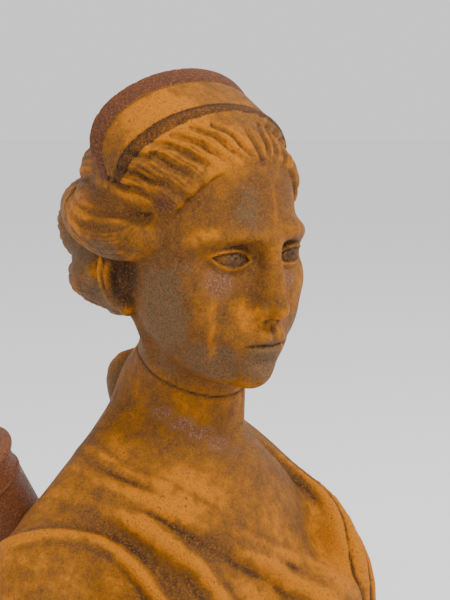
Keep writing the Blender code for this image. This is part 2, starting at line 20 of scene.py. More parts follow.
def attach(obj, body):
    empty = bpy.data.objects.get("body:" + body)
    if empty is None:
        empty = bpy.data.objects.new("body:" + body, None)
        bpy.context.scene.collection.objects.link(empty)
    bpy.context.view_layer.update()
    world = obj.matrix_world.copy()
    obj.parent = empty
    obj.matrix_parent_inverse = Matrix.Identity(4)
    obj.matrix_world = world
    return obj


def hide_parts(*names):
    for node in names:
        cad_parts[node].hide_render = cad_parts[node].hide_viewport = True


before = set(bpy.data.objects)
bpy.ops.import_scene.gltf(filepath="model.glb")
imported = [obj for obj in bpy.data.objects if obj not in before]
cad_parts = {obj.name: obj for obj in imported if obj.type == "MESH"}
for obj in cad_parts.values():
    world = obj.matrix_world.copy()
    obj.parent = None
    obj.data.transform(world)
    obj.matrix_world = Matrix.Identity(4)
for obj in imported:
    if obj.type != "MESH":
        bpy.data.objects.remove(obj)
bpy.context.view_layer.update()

LOG = logging.getLogger("garden_bust")

Point = Sequence[float]
Route = Sequence[Point]
Surface = Callable[[np.ndarray], np.ndarray]

CLAY_CELL = 50.0
CLAY_MARGIN = 20.0
RELIEF_CELL = 24.0
HALF_DIAGONAL = 0.87
TINY = 1e-9


class Work(Enum):
    """Whether a form is put on the clay or scooped out of it."""

    ADD = "put on"
    CUT = "scooped out"


class Casting(Enum):
    """The castings that the bust is bolted up from, by the name of their node."""

    HEAD = "head"
    BODY = "body"
    QUIVER = "quiver"


def turned(degrees: Point) -> np.ndarray:
    """The rotation of three angles about X, Y and Z.

    Args:
        degrees: The three angles, in degrees.

    Returns:
        A 3 by 3 array.
    """
    return np.array(Euler([math.radians(a) for a in degrees], "XYZ").to_matrix())


def mixed(a: np.ndarray, b: np.ndarray, soft: float) -> np.ndarray:
    """Joins two forms with a fillet.

    Args:
        a: Distances to the first form.
        b: Distances to the second form.
        soft: Width of the fillet.

    Returns:
        Distances to the two together.
    """
    if soft <= 0:
        return np.minimum(a, b)
    h = np.maximum(soft - np.abs(a - b), 0) / soft
    return np.minimum(a, b) - h * h * soft * 0.25


def eased(x: np.ndarray) -> np.ndarray:
    """A smooth step from 0 at x = 0 to 1 at x = 1."""
    x = np.clip(x, 0, 1)
    return x * x * (3 - 2 * x)


def by_cell(p: np.ndarray, size: float) -> Iterable[tuple[np.ndarray, np.ndarray]]:
    """Sorts points into cells of space, so that what lies far from a cell can be skipped.

    Args:
        p: The points.
        size: Side of a cell.

    Yields:
        The middle of each cell, and which points lie in it.
    """
    cells, which = np.unique(np.floor(p / size).astype(int), axis=0, return_inverse=True)
    order = np.argsort(which.ravel(), kind="stable")
    ends = np.searchsorted(which.ravel()[order], np.arange(len(cells) + 1))
    for i, cell in enumerate(cells):
        yield (cell + 0.5) * size, order[ends[i] : ends[i + 1]]


def curved(values: np.ndarray, bends: int) -> np.ndarray:
    """Draws a smooth curve through rows of values.

    Args:
        values: One row for each known place, such as x, y, z and a radius.
        bends: How many stretches lie between each two known places.

    Returns:
        The rows along the curve.
    """
    known = np.vstack([2 * values[0] - values[1], values, 2 * values[-1] - values[-2]])
    found = []
    for i in range(1, len(known) - 2):
        p0, p1, p2, p3 = known[i - 1 : i + 3]
        for step in range(bends):
            t = step / bends
            bow = (2 * p0 - 5 * p1 + 4 * p2 - p3) * t * t + (3 * p1 - p0 - 3 * p2 + p3) * t**3
            found.append(p1 + 0.5 * ((p2 - p0) * t + bow))
    return np.array(found + [known[-2]])


class Form:
    """A piece of clay, or a scoop taken from it."""

    middle: np.ndarray
    reach: float
    soft: float
    work: Work

    def near(self, centre: np.ndarray, reach: float) -> Optional["Form"]:
        """The part of the form that can matter within reach of centre."""
        return self

    def distance(self, p: np.ndarray) -> np.ndarray:
        """How far the points lie outside the form."""
        raise NotImplementedError

    def pellets(self) -> list[tuple[np.ndarray, np.ndarray, np.ndarray]]:
        """Eggs that fill the form: centre, half axes and turn of each."""
        raise NotImplementedError


class Lump(Form):
    """An egg of clay."""

    def __init__(self, centre: Point, radii: Point | float, turn: Point = (0, 0, 0), soft: float = 8.0,
                 work: Work = Work.ADD) -> None:
        """Places the egg.

        Args:
            centre: Its middle.
            radii: Its half axes, or one radius.
            turn: Its turn, in degrees.
            soft: Width of the fillet to what lies under it.
            work: Whether it is put on or scooped out.
        """
        self.middle = np.array(centre, float)
        self.radii = np.ones(3) * radii
        self.turn = turned(turn)
        self.soft = soft
        self.work = work
        self.reach = self.radii.max()

    def distance(self, p: np.ndarray) -> np.ndarray:
        """How far the points lie outside the egg, nearly."""
        a = (p - self.middle) @ self.turn / self.radii
        k0 = np.sqrt((a * a).sum(1))
        b = a / self.radii
        return k0 * (k0 - 1) / np.maximum(np.sqrt((b * b).sum(1)), TINY)

    def pellets(self) -> list[tuple[np.ndarray, np.ndarray, np.ndarray]]:
        """The egg itself."""
        return [(self.middle, self.radii, self.turn)]


class Roll(Form):
    """A roll of clay through places, with a radius at each."""

    def __init__(self, route: Route, radii: Sequence[float] | float, soft: float = 8.0,
                 work: Work = Work.ADD, bends: int = 0) -> None:
        """Lays the roll.

        Args:
            route: The places that its middle passes.
            radii: Its radius at each, or one radius.
            soft: Width of the fillet to what lies under it.
            work: Whether it is put on or scooped out.
            bends: Stretches between each two places on a smooth curve, or 0 for straight ones.
        """
        rows = np.column_stack([np.array(route, float), np.ones(len(route)) * radii])
        rows = curved(rows, bends) if bends else rows
        self.points, self.radii = rows[:, :3], np.maximum(rows[:, 3], 0.1)
        self.soft = soft
        self.work = work
        self.middle = (self.points.min(0) + self.points.max(0)) / 2
        self.reach = np.linalg.norm(self.points - self.middle, axis=1).max() + self.radii.max()

    def near(self, centre: np.ndarray, reach: float) -> Optional["Roll"]:
        """Only the stretch of the roll that passes within reach of centre."""
        close = np.linalg.norm(self.points - centre, axis=1) < reach + self.radii.max()
        if len(self.points) < 5:
            return self
        if not close.any():
            return None
        rows = np.flatnonzero(close)
        part = Roll.__new__(Roll)
        stretch = slice(max(rows[0] - 1, 0), min(rows[-1] + 2, len(self.points)))
        part.points, part.radii = self.points[stretch], self.radii[stretch]
        return part

    def distance(self, p: np.ndarray) -> np.ndarray:
        """How far the points lie outside the roll."""
        best = np.full(len(p), 1e9)
        for a, b, ra, rb in zip(self.points, self.points[1:], self.radii, self.radii[1:]):
            along = b - a
            away = p - a
            h = np.clip(away @ along / max(along @ along, TINY), 0, 1)
            away = away - h[:, None] * along
            best = np.minimum(best, np.sqrt((away * away).sum(1)) - (ra + (rb - ra) * h))
        return best

    def pellets(self) -> list[tuple[np.ndarray, np.ndarray, np.ndarray]]:
        """Balls strung closely along the roll."""
        found = []
        for a, b, ra, rb in zip(self.points, self.points[1:], self.radii, self.radii[1:]):
            steps = max(1, int(np.linalg.norm(b - a) / (0.6 * min(ra, rb))))
            for i in range(steps + 1):
                t = i / steps
                found.append((a + (b - a) * t, np.ones(3) * (ra + (rb - ra) * t), np.eye(3)))
        return found


class Shaft(Form):
    """A straight tapering shaft with flat ends, scooped out of the clay to make room for a turned piece."""

    SIDES = 48

    def __init__(self, top: Point, foot: Point, radii: tuple[float, float]) -> None:
        """Places the shaft.

        Args:
            top: Middle of its upper end.
            foot: Middle of its lower end.
            radii: Radius at the top and at the foot.
        """
        self.top = np.array(top, float)
        self.along = np.array(foot, float) - self.top
        self.length = float(np.linalg.norm(self.along))
        self.along /= self.length
        self.radii = radii
        self.soft = 1.0
        self.work = Work.CUT
        self.middle = self.top + self.along * self.length / 2
        self.reach = self.length / 2 + max(radii)

    def distance(self, p: np.ndarray) -> np.ndarray:
        """How far the points lie outside the shaft."""
        q = p - self.top
        h = q @ self.along
        out = np.sqrt(np.maximum((q * q).sum(1) - h * h, 0))
        side = out - (self.radii[0] + (self.radii[1] - self.radii[0]) * np.clip(h / self.length, 0, 1))
        return np.maximum(side, np.maximum(-h, h - self.length))

    def sunk_in(self, thing: bpy.types.Object) -> None:
        """Takes the shaft's room out of a closed thing."""
        cutter = bmesh.new()
        bmesh.ops.create_cone(cutter, cap_ends=True, segments=self.SIDES, radius1=self.radii[1],
                              radius2=self.radii[0], depth=self.length)
        turn = Vector((0, 0, 1)).rotation_difference(Vector(-self.along)).to_matrix()
        bmesh.ops.rotate(cutter, verts=cutter.verts, matrix=turn)
        bmesh.ops.translate(cutter, verts=cutter.verts, vec=Vector(self.middle))
        mesh = into_mesh(cutter, "room")
        room = linked("room", mesh)
        cut = thing.modifiers.new("room", "BOOLEAN")
        cut.operation = "DIFFERENCE"
        cut.object = room
        applied(thing)
        bpy.data.objects.remove(room)
        bpy.data.meshes.remove(mesh)


class Clay:
    """Forms put on and scooped out in order. Called with points, it gives their distance to the surface."""

    def __init__(self, forms: Iterable[Form]) -> None:
        """Takes the forms in the order in which they are worked."""
        self.forms = list(forms)
        self.middles = np.array([form.middle for form in self.forms])
        self.reaches = np.array([form.reach + form.soft for form in self.forms])

    def __call__(self, p: np.ndarray) -> np.ndarray:
        """Measures points, cell by cell of space."""
        found = np.full(len(p), 1e3)
        for centre, rows in by_cell(p, CLAY_CELL):
            found[rows] = self.in_cell(centre, p[rows])
        return found

    def in_cell(self, centre: np.ndarray, p: np.ndarray) -> np.ndarray:
        """Distances of points that all lie in one cell of space.

        Args:
            centre: Middle of the cell.
            p: The points.

        Returns:
            The distance of each to the worked surface.
        """
        reach = CLAY_CELL * HALF_DIAGONAL + CLAY_MARGIN
        close = np.linalg.norm(self.middles - centre, axis=1) < self.reaches + reach
        d = np.full(len(p), 1e3)
        for index in np.flatnonzero(close):
            form = self.forms[index]
            part = form.near(centre, reach + form.soft)
            if part is None:
                continue
            if form.work is Work.CUT:
                d = -mixed(-d, part.distance(p), form.soft)
            else:
                d = mixed(d, part.distance(p), form.soft)
        return d


def slope(surface: Surface, p: np.ndarray, step: float = 0.3) -> tuple[np.ndarray, np.ndarray]:
    """Measures points and the way out of the surface at each.

    Args:
        surface: What is measured against.
        p: The points.
        step: How far apart the measuring places lie.

    Returns:
        The distances, and the slopes, which are about 1 long.
    """
    d = surface(p)
    ways = [(surface(p + step * axis) - d) / step for axis in np.eye(3)]
    return d, np.column_stack(ways)


def settled(surface: Surface, p: np.ndarray, rounds: int, longest: float = 8.0) -> np.ndarray:
    """Moves points along the slope until they lie on the surface.

    Args:
        surface: Where they are to lie.
        p: The points.
        rounds: How often they are moved.
        longest: The furthest move of one round.

    Returns:
        The moved points.
    """
    for _ in range(rounds):
        d, g = slope(surface, p)
        move = -d[:, None] * g / np.maximum((g * g).sum(1), 0.05)[:, None]
        length = np.maximum(np.linalg.norm(move, axis=1), TINY)
        p = p + move * (np.minimum(length, longest) / length)[:, None]
    return p


@dataclass
class Crease:
    """A ridge or furrow carved along a route on a surface.

    Its height dies away to each side, and towards the ends where taper is under 1, over the ending's share
    of its length.
    """

    route: Route
    wide: float
    high: float
    taper: tuple[float, float] = (0.0, 0.0)
    bends: int = 4
    ending: float = 0.4

    def laid_on(self, surface: Surface) -> tuple[np.ndarray, np.ndarray]:
        """Lays the route on a surface.

        Args:
            surface: The surface that it is carved in.

        Returns:
            The points along it, and the share of the full height at each.
        """
        points = settled(surface, curved(np.array(self.route, float), self.bends), rounds=6, longest=12.0)
        t = np.linspace(0, 1, len(points))
        start, end = self.taper
        swell = start + (1 - start) * np.sin(np.minimum(t / self.ending, 1) * math.pi / 2)
        swell *= end + (1 - end) * np.sin(np.minimum((1 - t) / self.ending, 1) * math.pi / 2)
        return points, swell


class Relief:
    """Many creases carved in one surface. Called with points, it gives how far each is lifted."""

    def __init__(self, surface: Surface, creases: Sequence[Crease]) -> None:
        """Lays the creases on the surface and lists their short stretches.

        Args:
            surface: The surface that they are carved in.
            creases: The ridges and furrows.
        """
        starts, ways, swells, gains, owners, sizes = [], [], [], [], [], []
        for owner, crease in enumerate(creases):
            points, swell = crease.laid_on(surface)
            count = len(points) - 1
            starts.append(points[:-1])
            ways.append(np.diff(points, axis=0))
            swells.append(swell[:-1])
            gains.append(np.diff(swell))
            owners.append(np.full(count, owner))
            sizes.append(np.full((count, 2), (crease.wide, crease.high)))
        self.starts, self.ways = np.vstack(starts), np.vstack(ways)
        self.swells, self.gains = np.concatenate(swells), np.concatenate(gains)
        self.owners = np.concatenate(owners)
        self.wide, self.high = np.vstack(sizes).T
        self.middles = self.starts + self.ways / 2
        self.lengths = np.maximum((self.ways**2).sum(1), TINY)
        self.reaches = np.sqrt(self.lengths) / 2 + self.wide

    def __call__(self, p: np.ndarray) -> np.ndarray:
        """Measures the lift of points, cell by cell of space."""
        found = np.zeros(len(p))
        for centre, rows in by_cell(p, RELIEF_CELL):
            away = np.linalg.norm(self.middles - centre, axis=1)
            close = np.flatnonzero(away < self.reaches + RELIEF_CELL * HALF_DIAGONAL)
            if len(close):
                found[rows] = self.in_cell(close, p[rows])
        return found

    def in_cell(self, close: np.ndarray, p: np.ndarray) -> np.ndarray:
        """Lift of points that all lie near a few stretches.

        Args:
            close: Which stretches, in order.
            p: The points.

        Returns:
            The lift of each point.
        """
        q = p[:, None, :] - self.starts[close]
        ways = self.ways[close]
        h = np.clip((q * ways).sum(2) / self.lengths[close], 0, 1)
        away = np.linalg.norm(q - h[:, :, None] * ways, axis=2) / self.wide[close]
        lift = (self.swells[close] + self.gains[close] * h) * np.maximum(1 - away**2, 0) ** 2
        first = np.flatnonzero(np.diff(self.owners[close], prepend=-1))
        return np.maximum.reduceat(lift, first, axis=1) @ self.high[close][first]


def evened(route: Route, count: int = 7) -> np.ndarray:
    """Draws a smooth route through places and spaces places evenly along it.

    Args:
        route: The known places.
        count: How many places come back.

    Returns:
        The evenly spaced places.
    """
    rows = curved(np.array(route, float), 6)
    run = np.concatenate([[0], np.cumsum(np.linalg.norm(np.diff(rows, axis=0), axis=1))])
    steps = np.linspace(0, run[-1], count)
    return np.column_stack([np.interp(steps, run, column) for column in rows.T])


def between(a: Route, b: Route, count: int) -> list[np.ndarray]:
    """Routes spaced evenly between two others.

    Args:
        a: The first route.
        b: The last route.
        count: How many lie between them.

    Returns:
        The routes between, without the two.
    """
    first, last = evened(a), evened(b)
    return [first + (last - first) * (i + 1) / (count + 1) for i in range(count)]


@dataclass
class Neckhold:
    """How the head sits on the shoulders."""

    at: Point = (0, -10, 410)
    nod: float = 8
    turn: float = -4

    def out(self, p: Route) -> np.ndarray:
        """Places of the head's own frame in the shoulders' frame."""
        return np.array(p, float) @ turned((self.nod, 0, self.turn)).T + self.at

    def into(self, p: np.ndarray) -> np.ndarray:
        """Places of the shoulders' frame in the head's own frame."""
        return (p - self.at) @ turned((self.nod, 0, self.turn))

    def folded(self, p: np.ndarray) -> np.ndarray:
        """The same with the head's two halves folded together, as both are modelled alike."""
        q = self.into(p)
        q[:, 0] = np.abs(q[:, 0])
        return q


@dataclass
class Eye:
    """An almond opening between two lids, with an eyeball in it."""

    ball_at: Point = (31.5, -66.5, 0)
    ball_radius: float = 14.5
    inner: Point = (17.0, -80, -2.0)
    outer: Point = (46.5, -71, 0.5)
    upper_arch: float = 5.6
    lower_arch: float = 4.8
    lid_rise: float = 2.3
    lid_width: float = 8.0
    edge: float = 1.5
    roundness: float = 0.75
    iris_radius: float = 5.2
    iris_line: float = 1.2
    iris_depth: float = 0.4
    pupil_radius: float = 2.4
    pupil_depth: float = 1.1
    gaze_rise: float = 0.6

    def forms(self) -> list[Form]:
        """The eyeball behind the lids."""
        return [Lump(self.ball_at, self.ball_radius, soft=5)]

    def lift(self, q: np.ndarray) -> np.ndarray:
        """Raises the lids round the opening and marks iris and pupil.

        Args:
            q: Points in the folded frame of the head.

        Returns:
            The lift of each.
        """
        inner, outer = np.array(self.inner), np.array(self.outer)
        along = outer - inner
        u = (q - inner) @ along / (along @ along)
        v = q[:, 2] - (inner[2] + along[2] * u)
        bow = np.maximum(1 - (2 * np.clip(u, 0, 1) - 1) ** 2, 0) ** self.roundness
        past = np.maximum(np.maximum(-u, u - 1), 0) * np.linalg.norm(along)
        outside = np.hypot(np.maximum(v - self.upper_arch * bow, -self.lower_arch * bow - v), past)
        outside = np.where((v < self.upper_arch * bow) & (v > -self.lower_arch * bow), 0, outside)
        front = q[:, 1] < -45
        rim = eased(outside / self.edge) * (1 - eased((outside - self.edge) / self.lid_width))
        gaze = np.hypot(q[:, 0] - self.ball_at[0], q[:, 2] - self.ball_at[2] - self.gaze_rise)
        iris = -self.iris_depth * np.maximum(1 - ((gaze - self.iris_radius) / self.iris_line) ** 2, 0)
        pupil = -self.pupil_depth * np.maximum(1 - (gaze / self.pupil_radius) ** 2, 0)
        return front * (self.lid_rise * rim + (outside < 0.3) * (iris + pupil))


@dataclass
class Face:
    """The bare head and the face: origin between the eyes' line and the ears, face at -Y."""

    eye: Eye = field(default_factory=Eye)

    def skull(self) -> list[Form]:
        """Braincase, cheeks, jaw, chin and brow."""
        jaw = [(0, -72, -96), (22, -58, -94), (40, -30, -78), (53, -2, -40)]
        return [
            Lump((0, 8, 28), (73, 92, 82), soft=0),
            Lump((0, -22, -30), (58, 63, 84), soft=22),
            Lump((50, -22, -18), (18, 36, 42), soft=22),
            Roll(jaw, [15, 14, 14, 13], 20, bends=3),
            Lump((0, -80, -95), (16, 15, 14), soft=14),
            Lump((32, -56, -50), (27, 24, 34), soft=22),
            Lump((43, -54, -24), (19, 16, 15), soft=18),
            Roll([(5, -84, 14), (28, -82, 19), (50, -65, 15), (62, -44, 4)], [6, 6.5, 5.5, 3], 16, bends=3),
            Lump((26, -95, 2), (17, 16, 11), soft=14, work=Work.CUT),
        ]

    def nose_and_mouth(self) -> list[Form]:
        """Bridge, tip and wings of the nose, and the two lips on the muzzle."""
        return [
            Lump((0, -88, -28), (13, 12, 24), soft=9),
            Roll([(0, -86, 14), (0, -95, -14), (0, -103, -36)], [6.5, 6.5, 6.5], 9),
            Lump((0, -103.5, -39), (7.5, 8.5, 7), soft=7),
            Lump((9.5, -92, -41), (5.5, 9, 6), soft=7),
            Lump((0, -77, -68), (30, 21, 24), soft=16),
            Roll([(0, -96, -64.5), (8, -96.5, -63.5), (21, -88, -69)], [5.6, 5.6, 2.4], 5, bends=3),
            Roll([(0, -94, -76), (8, -93.5, -75.5), (19, -87, -71)], [7.2, 6.4, 2.4], 5, bends=3),
            Lump((0, -102, -84.5), (16, 6, 4.5), soft=8, work=Work.CUT),
        ]

    def ear(self) -> list[Form]:
        """The lower half of the ear, which shows below the hair."""
        return [
            Lump((67, 25, -34), (9, 19, 29), turn=(-12, 0, 0), soft=5),
            Lump((66, 10, -58), (6, 8, 8), soft=4),
        ]

    def forms(self) -> list[Form]:
        """All the clay of the bare head, in order."""
        return self.skull() + self.eye.forms() + self.nose_and_mouth() + self.ear()

    def creases(self) -> list[Crease]:
        """The lines that are drawn in the face once its clay is smooth."""
        lips = [(0, -101, -70.5), (8, -99, -69.4), (16, -93, -70.2), (21.5, -88, -71.6)]
        return [
            Crease(lips, 2.8, -1.9, (1, 0)),
            Crease([(0, -97, -53), (0, -99, -60)], 5.5, -0.8, (0.4, 0.4)),
            Crease([(4.8, -101, -50), (7.4, -97, -49.5)], 3.8, -2.2, (0.5, 0.3)),
            Crease([(9, -95, -32), (15, -90, -37), (17, -87, -44)], 5.0, -1.3),
            Crease([(16, -80, 4), (25, -80, 9.8), (37, -77, 9.8), (48, -68, 4.0)], 3.4, -1.1),
            Crease([(17, -80, -9), (28, -80, -12), (42, -74, -9)], 5.0, -0.9),
            Crease([(70, 6, -12), (76, 22, -10), (77, 38, -20), (73, 36, -44), (67, 18, -62)], 4.5, 3.6),
            Crease([(74, 16, -20), (76, 22, -32), (72, 14, -46)], 8.0, -7.0),
            Crease([(66, 4, -26), (68, 6, -38)], 4.0, 2.0),
        ]


@dataclass
class Diadem(Form):
    """The diadem's wall: it stands on an oval ring round the hair, opens to a wider ring at its crest, and
    dies away behind the temples."""

    at: Point = (0, 3.5, 63.7)
    tilt: float = 65
    foot_radii: tuple[float, float] = (84, 50)
    crest_radii: tuple[float, float] = (85, 63)
    setback: float = 10.5
    height: float = 53
    foot: float = 4.4
    waist: float = 3.4
    crest: float = 4.8
    end: float = 120
    foot_height: float = 4.5
    crest_height: float = 13.0

    def __post_init__(self) -> None:
        """Works out the ring's axis and the form's reach."""
        tilt = math.radians(self.tilt)
        self.middle = np.array(self.at, float)
        self.axis = np.array([0, math.sin(tilt), math.cos(tilt)])
        self.front = np.array([0, -math.cos(tilt), math.sin(tilt)])
        self.soft = 2.5
        self.work = Work.ADD
        self.reach = max(self.crest_radii) + self.height + self.crest

    def ring(self, h: np.ndarray) -> tuple[np.ndarray, np.ndarray, np.ndarray]:
        """Width, depth and setback of the oval at a share of the height."""
        (foot_a, foot_b), (crest_a, crest_b) = self.foot_radii, self.crest_radii
        return foot_a + (crest_a - foot_a) * h, foot_b + (crest_b - foot_b) * h, self.setback * h

    def thick(self, h: np.ndarray, top: np.ndarray) -> np.ndarray:
        """Half the wall's thickness at a share of the height, with a bead at the foot and at the crest."""
        up, down = h * self.height, (top - h) * self.height
        waist = np.minimum(self.waist, 1.5 + 3 * top)
        bead = (self.foot - waist) * (1 - eased((up - 1) / (self.foot_height - 1)))
        crest = (self.crest - waist) * (1 - eased((down - 1) / self.crest_height)) * eased(top * 1.4)
        return waist + np.maximum(bead, crest)

    def seen(self, p: np.ndarray) -> tuple[np.ndarray, ...]:
        """Where points lie beside the wall.

        Args:
            p: Points in the folded frame of the head.

        Returns:
            How far each is outside the wall's middle, how far past its ends, and the shares of the height
            that it lies at and that the wall has there.
        """
        q = p - self.middle
        along, ahead, x = q @ self.axis, q @ self.front, np.abs(q[:, 0])
        a, b, back = self.ring(0.5)
        round_at = np.arctan2(x / a, (ahead + back) / b)
        top = 1 - np.clip(round_at / math.radians(self.end), 0, 1) ** 6
        h = np.clip(along / self.height, 0, top)
        a, b, back = self.ring(h)
        ahead = ahead + back
        k0 = np.hypot(x / a, ahead / b)
        out = k0 * (k0 - 1) / np.maximum(np.hypot(x / a**2, ahead / b**2), 1e-6)
        return out, along - h * self.height, h, top

    def distance(self, p: np.ndarray) -> np.ndarray:
        """How far the points lie outside the wall."""
        out, past, h, top = self.seen(p)
        return np.hypot(out, past) - self.thick(h, top)

    def lift(self, q: np.ndarray) -> np.ndarray:
        """Draws the groove above the foot and the edge under the crest.

        Args:
            q: Points in the folded frame of the head.

        Returns:
            The lift of each.
        """
        out, past, h, top = self.seen(q)
        outside = eased(out / 2) * (top > 0.2) * (out < 14) * (np.abs(past) < 9)
        groove = np.maximum(1 - ((h * self.height - self.foot_height - 1.2) / 2.0) ** 2, 0)
        under_crest = np.maximum(1 - (((top - h) * self.height - self.crest_height - 1.5) / 2.2) ** 2, 0)
        return -outside * (0.8 * groove + 0.8 * under_crest)

    def on_crest(self, q: np.ndarray) -> np.ndarray:
        """How much each point of the folded head frame lies on the crest."""
        out, past, h, top = self.seen(q)
        near = (np.hypot(out, past) < self.crest + 2.5) & (top > 0.1)
        return near * eased((self.crest_height + 2 - (top - h) * self.height) / 3)

    def shadow_above_foot(self, q: np.ndarray) -> np.ndarray:
        """How much each point lies in the groove above the foot, which is darkened there as painted shadow.
        """
        out, past, h, top = self.seen(q)
        near = (np.hypot(out, past) < self.foot + 3) & (top > 0.1) & (out > 0)
        return near * np.maximum(1 - ((h * self.height - self.foot_height * 0.4) / 6.0) ** 2, 0)

    def pellets(self) -> list[tuple[np.ndarray, np.ndarray, np.ndarray]]:
        """Balls that fill half of the wall."""
        found = []
        for degrees in range(0, int(self.end), 4):
            top = 1 - (degrees / self.end) ** 6
            for share in np.linspace(0, 1, 10):
                h = share * top
                a, b, back = self.ring(h)
                ahead = math.cos(math.radians(degrees)) * b - back
                centre = self.middle + self.axis * h * self.height + self.front * ahead
                radius = float(self.thick(np.array(h), np.array(top)))
                centre = centre + (math.sin(math.radians(degrees)) * a, 0, 0)
                found.append((centre, np.ones(3) * radius, np.eye(3)))
        return found


@dataclass
class Hair:
    """Hair waved back from a parting under the diadem, rolled over the ears and gathered in a bun."""

    lock_depth: float = 3.2
    strand_depth: float = 1.0
    strand_width: float = 2.2

    def masses(self) -> list[Form]:
        """The big soft masses: cap, waves from the parting, rolls over the ears, bun and nape."""
        swag = [(38, -50, 68), (54, -36, 53), (65, -18, 39), (71, 4, 34), (71, 34, 36), (58, 66, 38)]
        over_ear = [(62, -24, 24), (70, -8, 10), (74, 18, 3), (72, 50, 9), (46, 92, 9)]
        under_swag = [(62, -28, 36), (70, -4, 27), (74, 30, 26), (66, 64, 26)]
        under_diadem = [(0, -17, 103), (39, -15, 98), (67, -8, 83), (76, -2, 70), (76, 5, 56), (69, 11, 44)]
        return [
            Lump((0, 6, 32), (79, 91, 79), soft=0),
            Lump((0, 20, 33), (77, 97, 82), soft=6),
            Lump((44, 8, 58), (41, 48, 27), soft=16),
            Lump((0, 40, 58), (78, 56, 50), soft=14),
            Roll(under_diadem, 9, 10, bends=3),
            Roll(swag, [8, 11, 13, 14, 14, 12], 12, bends=3),
            Lump((0, -62, 3), (72, 82, 74), soft=5, work=Work.CUT),
            Lump((0, 66, -30), (56, 44, 50), soft=8),
            Lump((45, 62, 46), (30, 34, 26), soft=12),
            Lump((67, 20, 12), (25, 54, 29), turn=(8, 0, 0), soft=5),
            Roll(over_ear, [5, 14, 22, 26, 28], 7, bends=3),
            Roll(under_swag, [5, 11, 13, 12], 6, bends=3),
            Lump((0, 118, -12), (57, 38, 42), soft=10),
            Roll([(0, 104, -48), (34, 90, -50), (52, 66, -44)], [30, 28, 15], 12, bends=3),
            Roll([(0, 78, -66), (26, 68, -66), (46, 46, -60)], [20, 18, 11], 12, bends=3),
        ]

    def lock_routes(self) -> list[Route]:
        """The grooves between the locks over the brow, from under the diadem to the hairline."""
        return [
            [(27, -34, 103), (17, -47, 98), (14, -60, 89), (7, -70, 81)],
            [(43, -28, 99), (30, -40, 94), (25, -54, 85), (14, -69, 77)],
            [(58, -20, 91), (44, -34, 88), (38, -48, 80), (27, -63, 72)],
            [(70, -11, 83), (57, -26, 81), (50, -41, 74), (39, -56, 66)],
            [(80, -2, 72), (68, -16, 71), (61, -32, 64), (50, -48, 58)],
            [(85, 8, 60), (77, -4, 59), (69, -22, 54), (59, -40, 50)],
            [(86, 22, 49), (80, 6, 47), (74, -11, 43), (66, -30, 40)],
        ]

    def over_ear_routes(self) -> list[Route]:
        """Nested swags of the broad roll over the ear, hung from the temple and from behind."""
        found = []
        for drop in (8, 20, 32, 44):
            spread = 1 - drop / 90
            found.append([
                (66, -18, 27 - drop * 0.15), (80, 4 - drop * 0.1, 26 - drop * 0.8), (92, 32, 28 - drop),
                (90, 58, 30 - drop * 0.8), (70, 84 * (0.75 + spread * 0.25), 30 - drop * 0.35),
            ])
        return found

    def bun_routes(self) -> list[Route]:
        """The grooves round the bun at the back."""
        return [
            [(40, 84, 20), (30, 122, 26), (0, 140, 20)],
            [(56, 100, 10), (46, 132, 6), (20, 152, 0), (0, 154, -4)],
            [(58, 98, -12), (46, 130, -20), (20, 148, -26), (0, 150, -30)],
            [(44, 104, -38), (26, 126, -44), (0, 136, -48)],
        ]

    def nape_routes(self) -> list[Route]:
        """The grooves of the hair drawn up from the nape."""
        return [
            [(56, 60, -44), (44, 96, -46), (20, 124, -52), (0, 130, -54)],
            [(60, 50, -58), (46, 92, -66), (20, 118, -76), (0, 122, -80)],
            [(50, 44, -76), (36, 76, -82), (14, 96, -92), (0, 98, -94)],
        ]

    def cap_routes(self) -> list[Route]:
        """Plain strands over the back of the skull, from behind the diadem down to the bun."""
        found = []
        for i in range(7):
            a = math.radians(6 + 13 * i)
            side, top = math.sin(a), math.cos(a)
            found.append([
                (side * 66, 40, 34 + top * 82),
                (side * 70, 84, 30 + top * 58),
                (side * 54, 118, 14 + top * 22),
            ])
        return found

    def creases(self) -> list[Crease]:
        """Every groove and strand."""
        deep = [(60, 76, 30), (72, 46, 26), (77, 22, 26), (76, 2, 26), (71, -16, 31), (63, -34, 38)]
        parting = [(0, -71, 77), (0, -60, 90), (0, -44, 104)]
        found = [Crease(parting, 5, -2.5, (1, 0.4)), Crease(deep, 12, -3.8, (0, 0))]
        for routes, width, depth, taper, strands in (
            (self.lock_routes(), 4.4, self.lock_depth, (0.5, 0.1), 2),
            (self.over_ear_routes(), 4.6, 1.7, (0.1, 0.2), 3),
            (self.bun_routes(), 5.0, 1.6, (0, 0.5), 2),
            (self.nape_routes(), 5.0, 1.6, (0, 0.5), 2),
            (self.cap_routes(), 4.0, 1.2, (0.3, 0.3), 1),
        ):
            found += [Crease(route, width, -depth, taper) for route in routes]
            for a, b in zip(routes, routes[1:]):
                bodies = between(a, b, 1)
                found += [Crease(route, width * 1.5, depth * 0.4, (0.3, 0.5)) for route in bodies]
                for route in between(a, b, strands + 1):
                    found.append(Crease(route, self.strand_width, -self.strand_depth, (0.2, 0.4)))
        return found


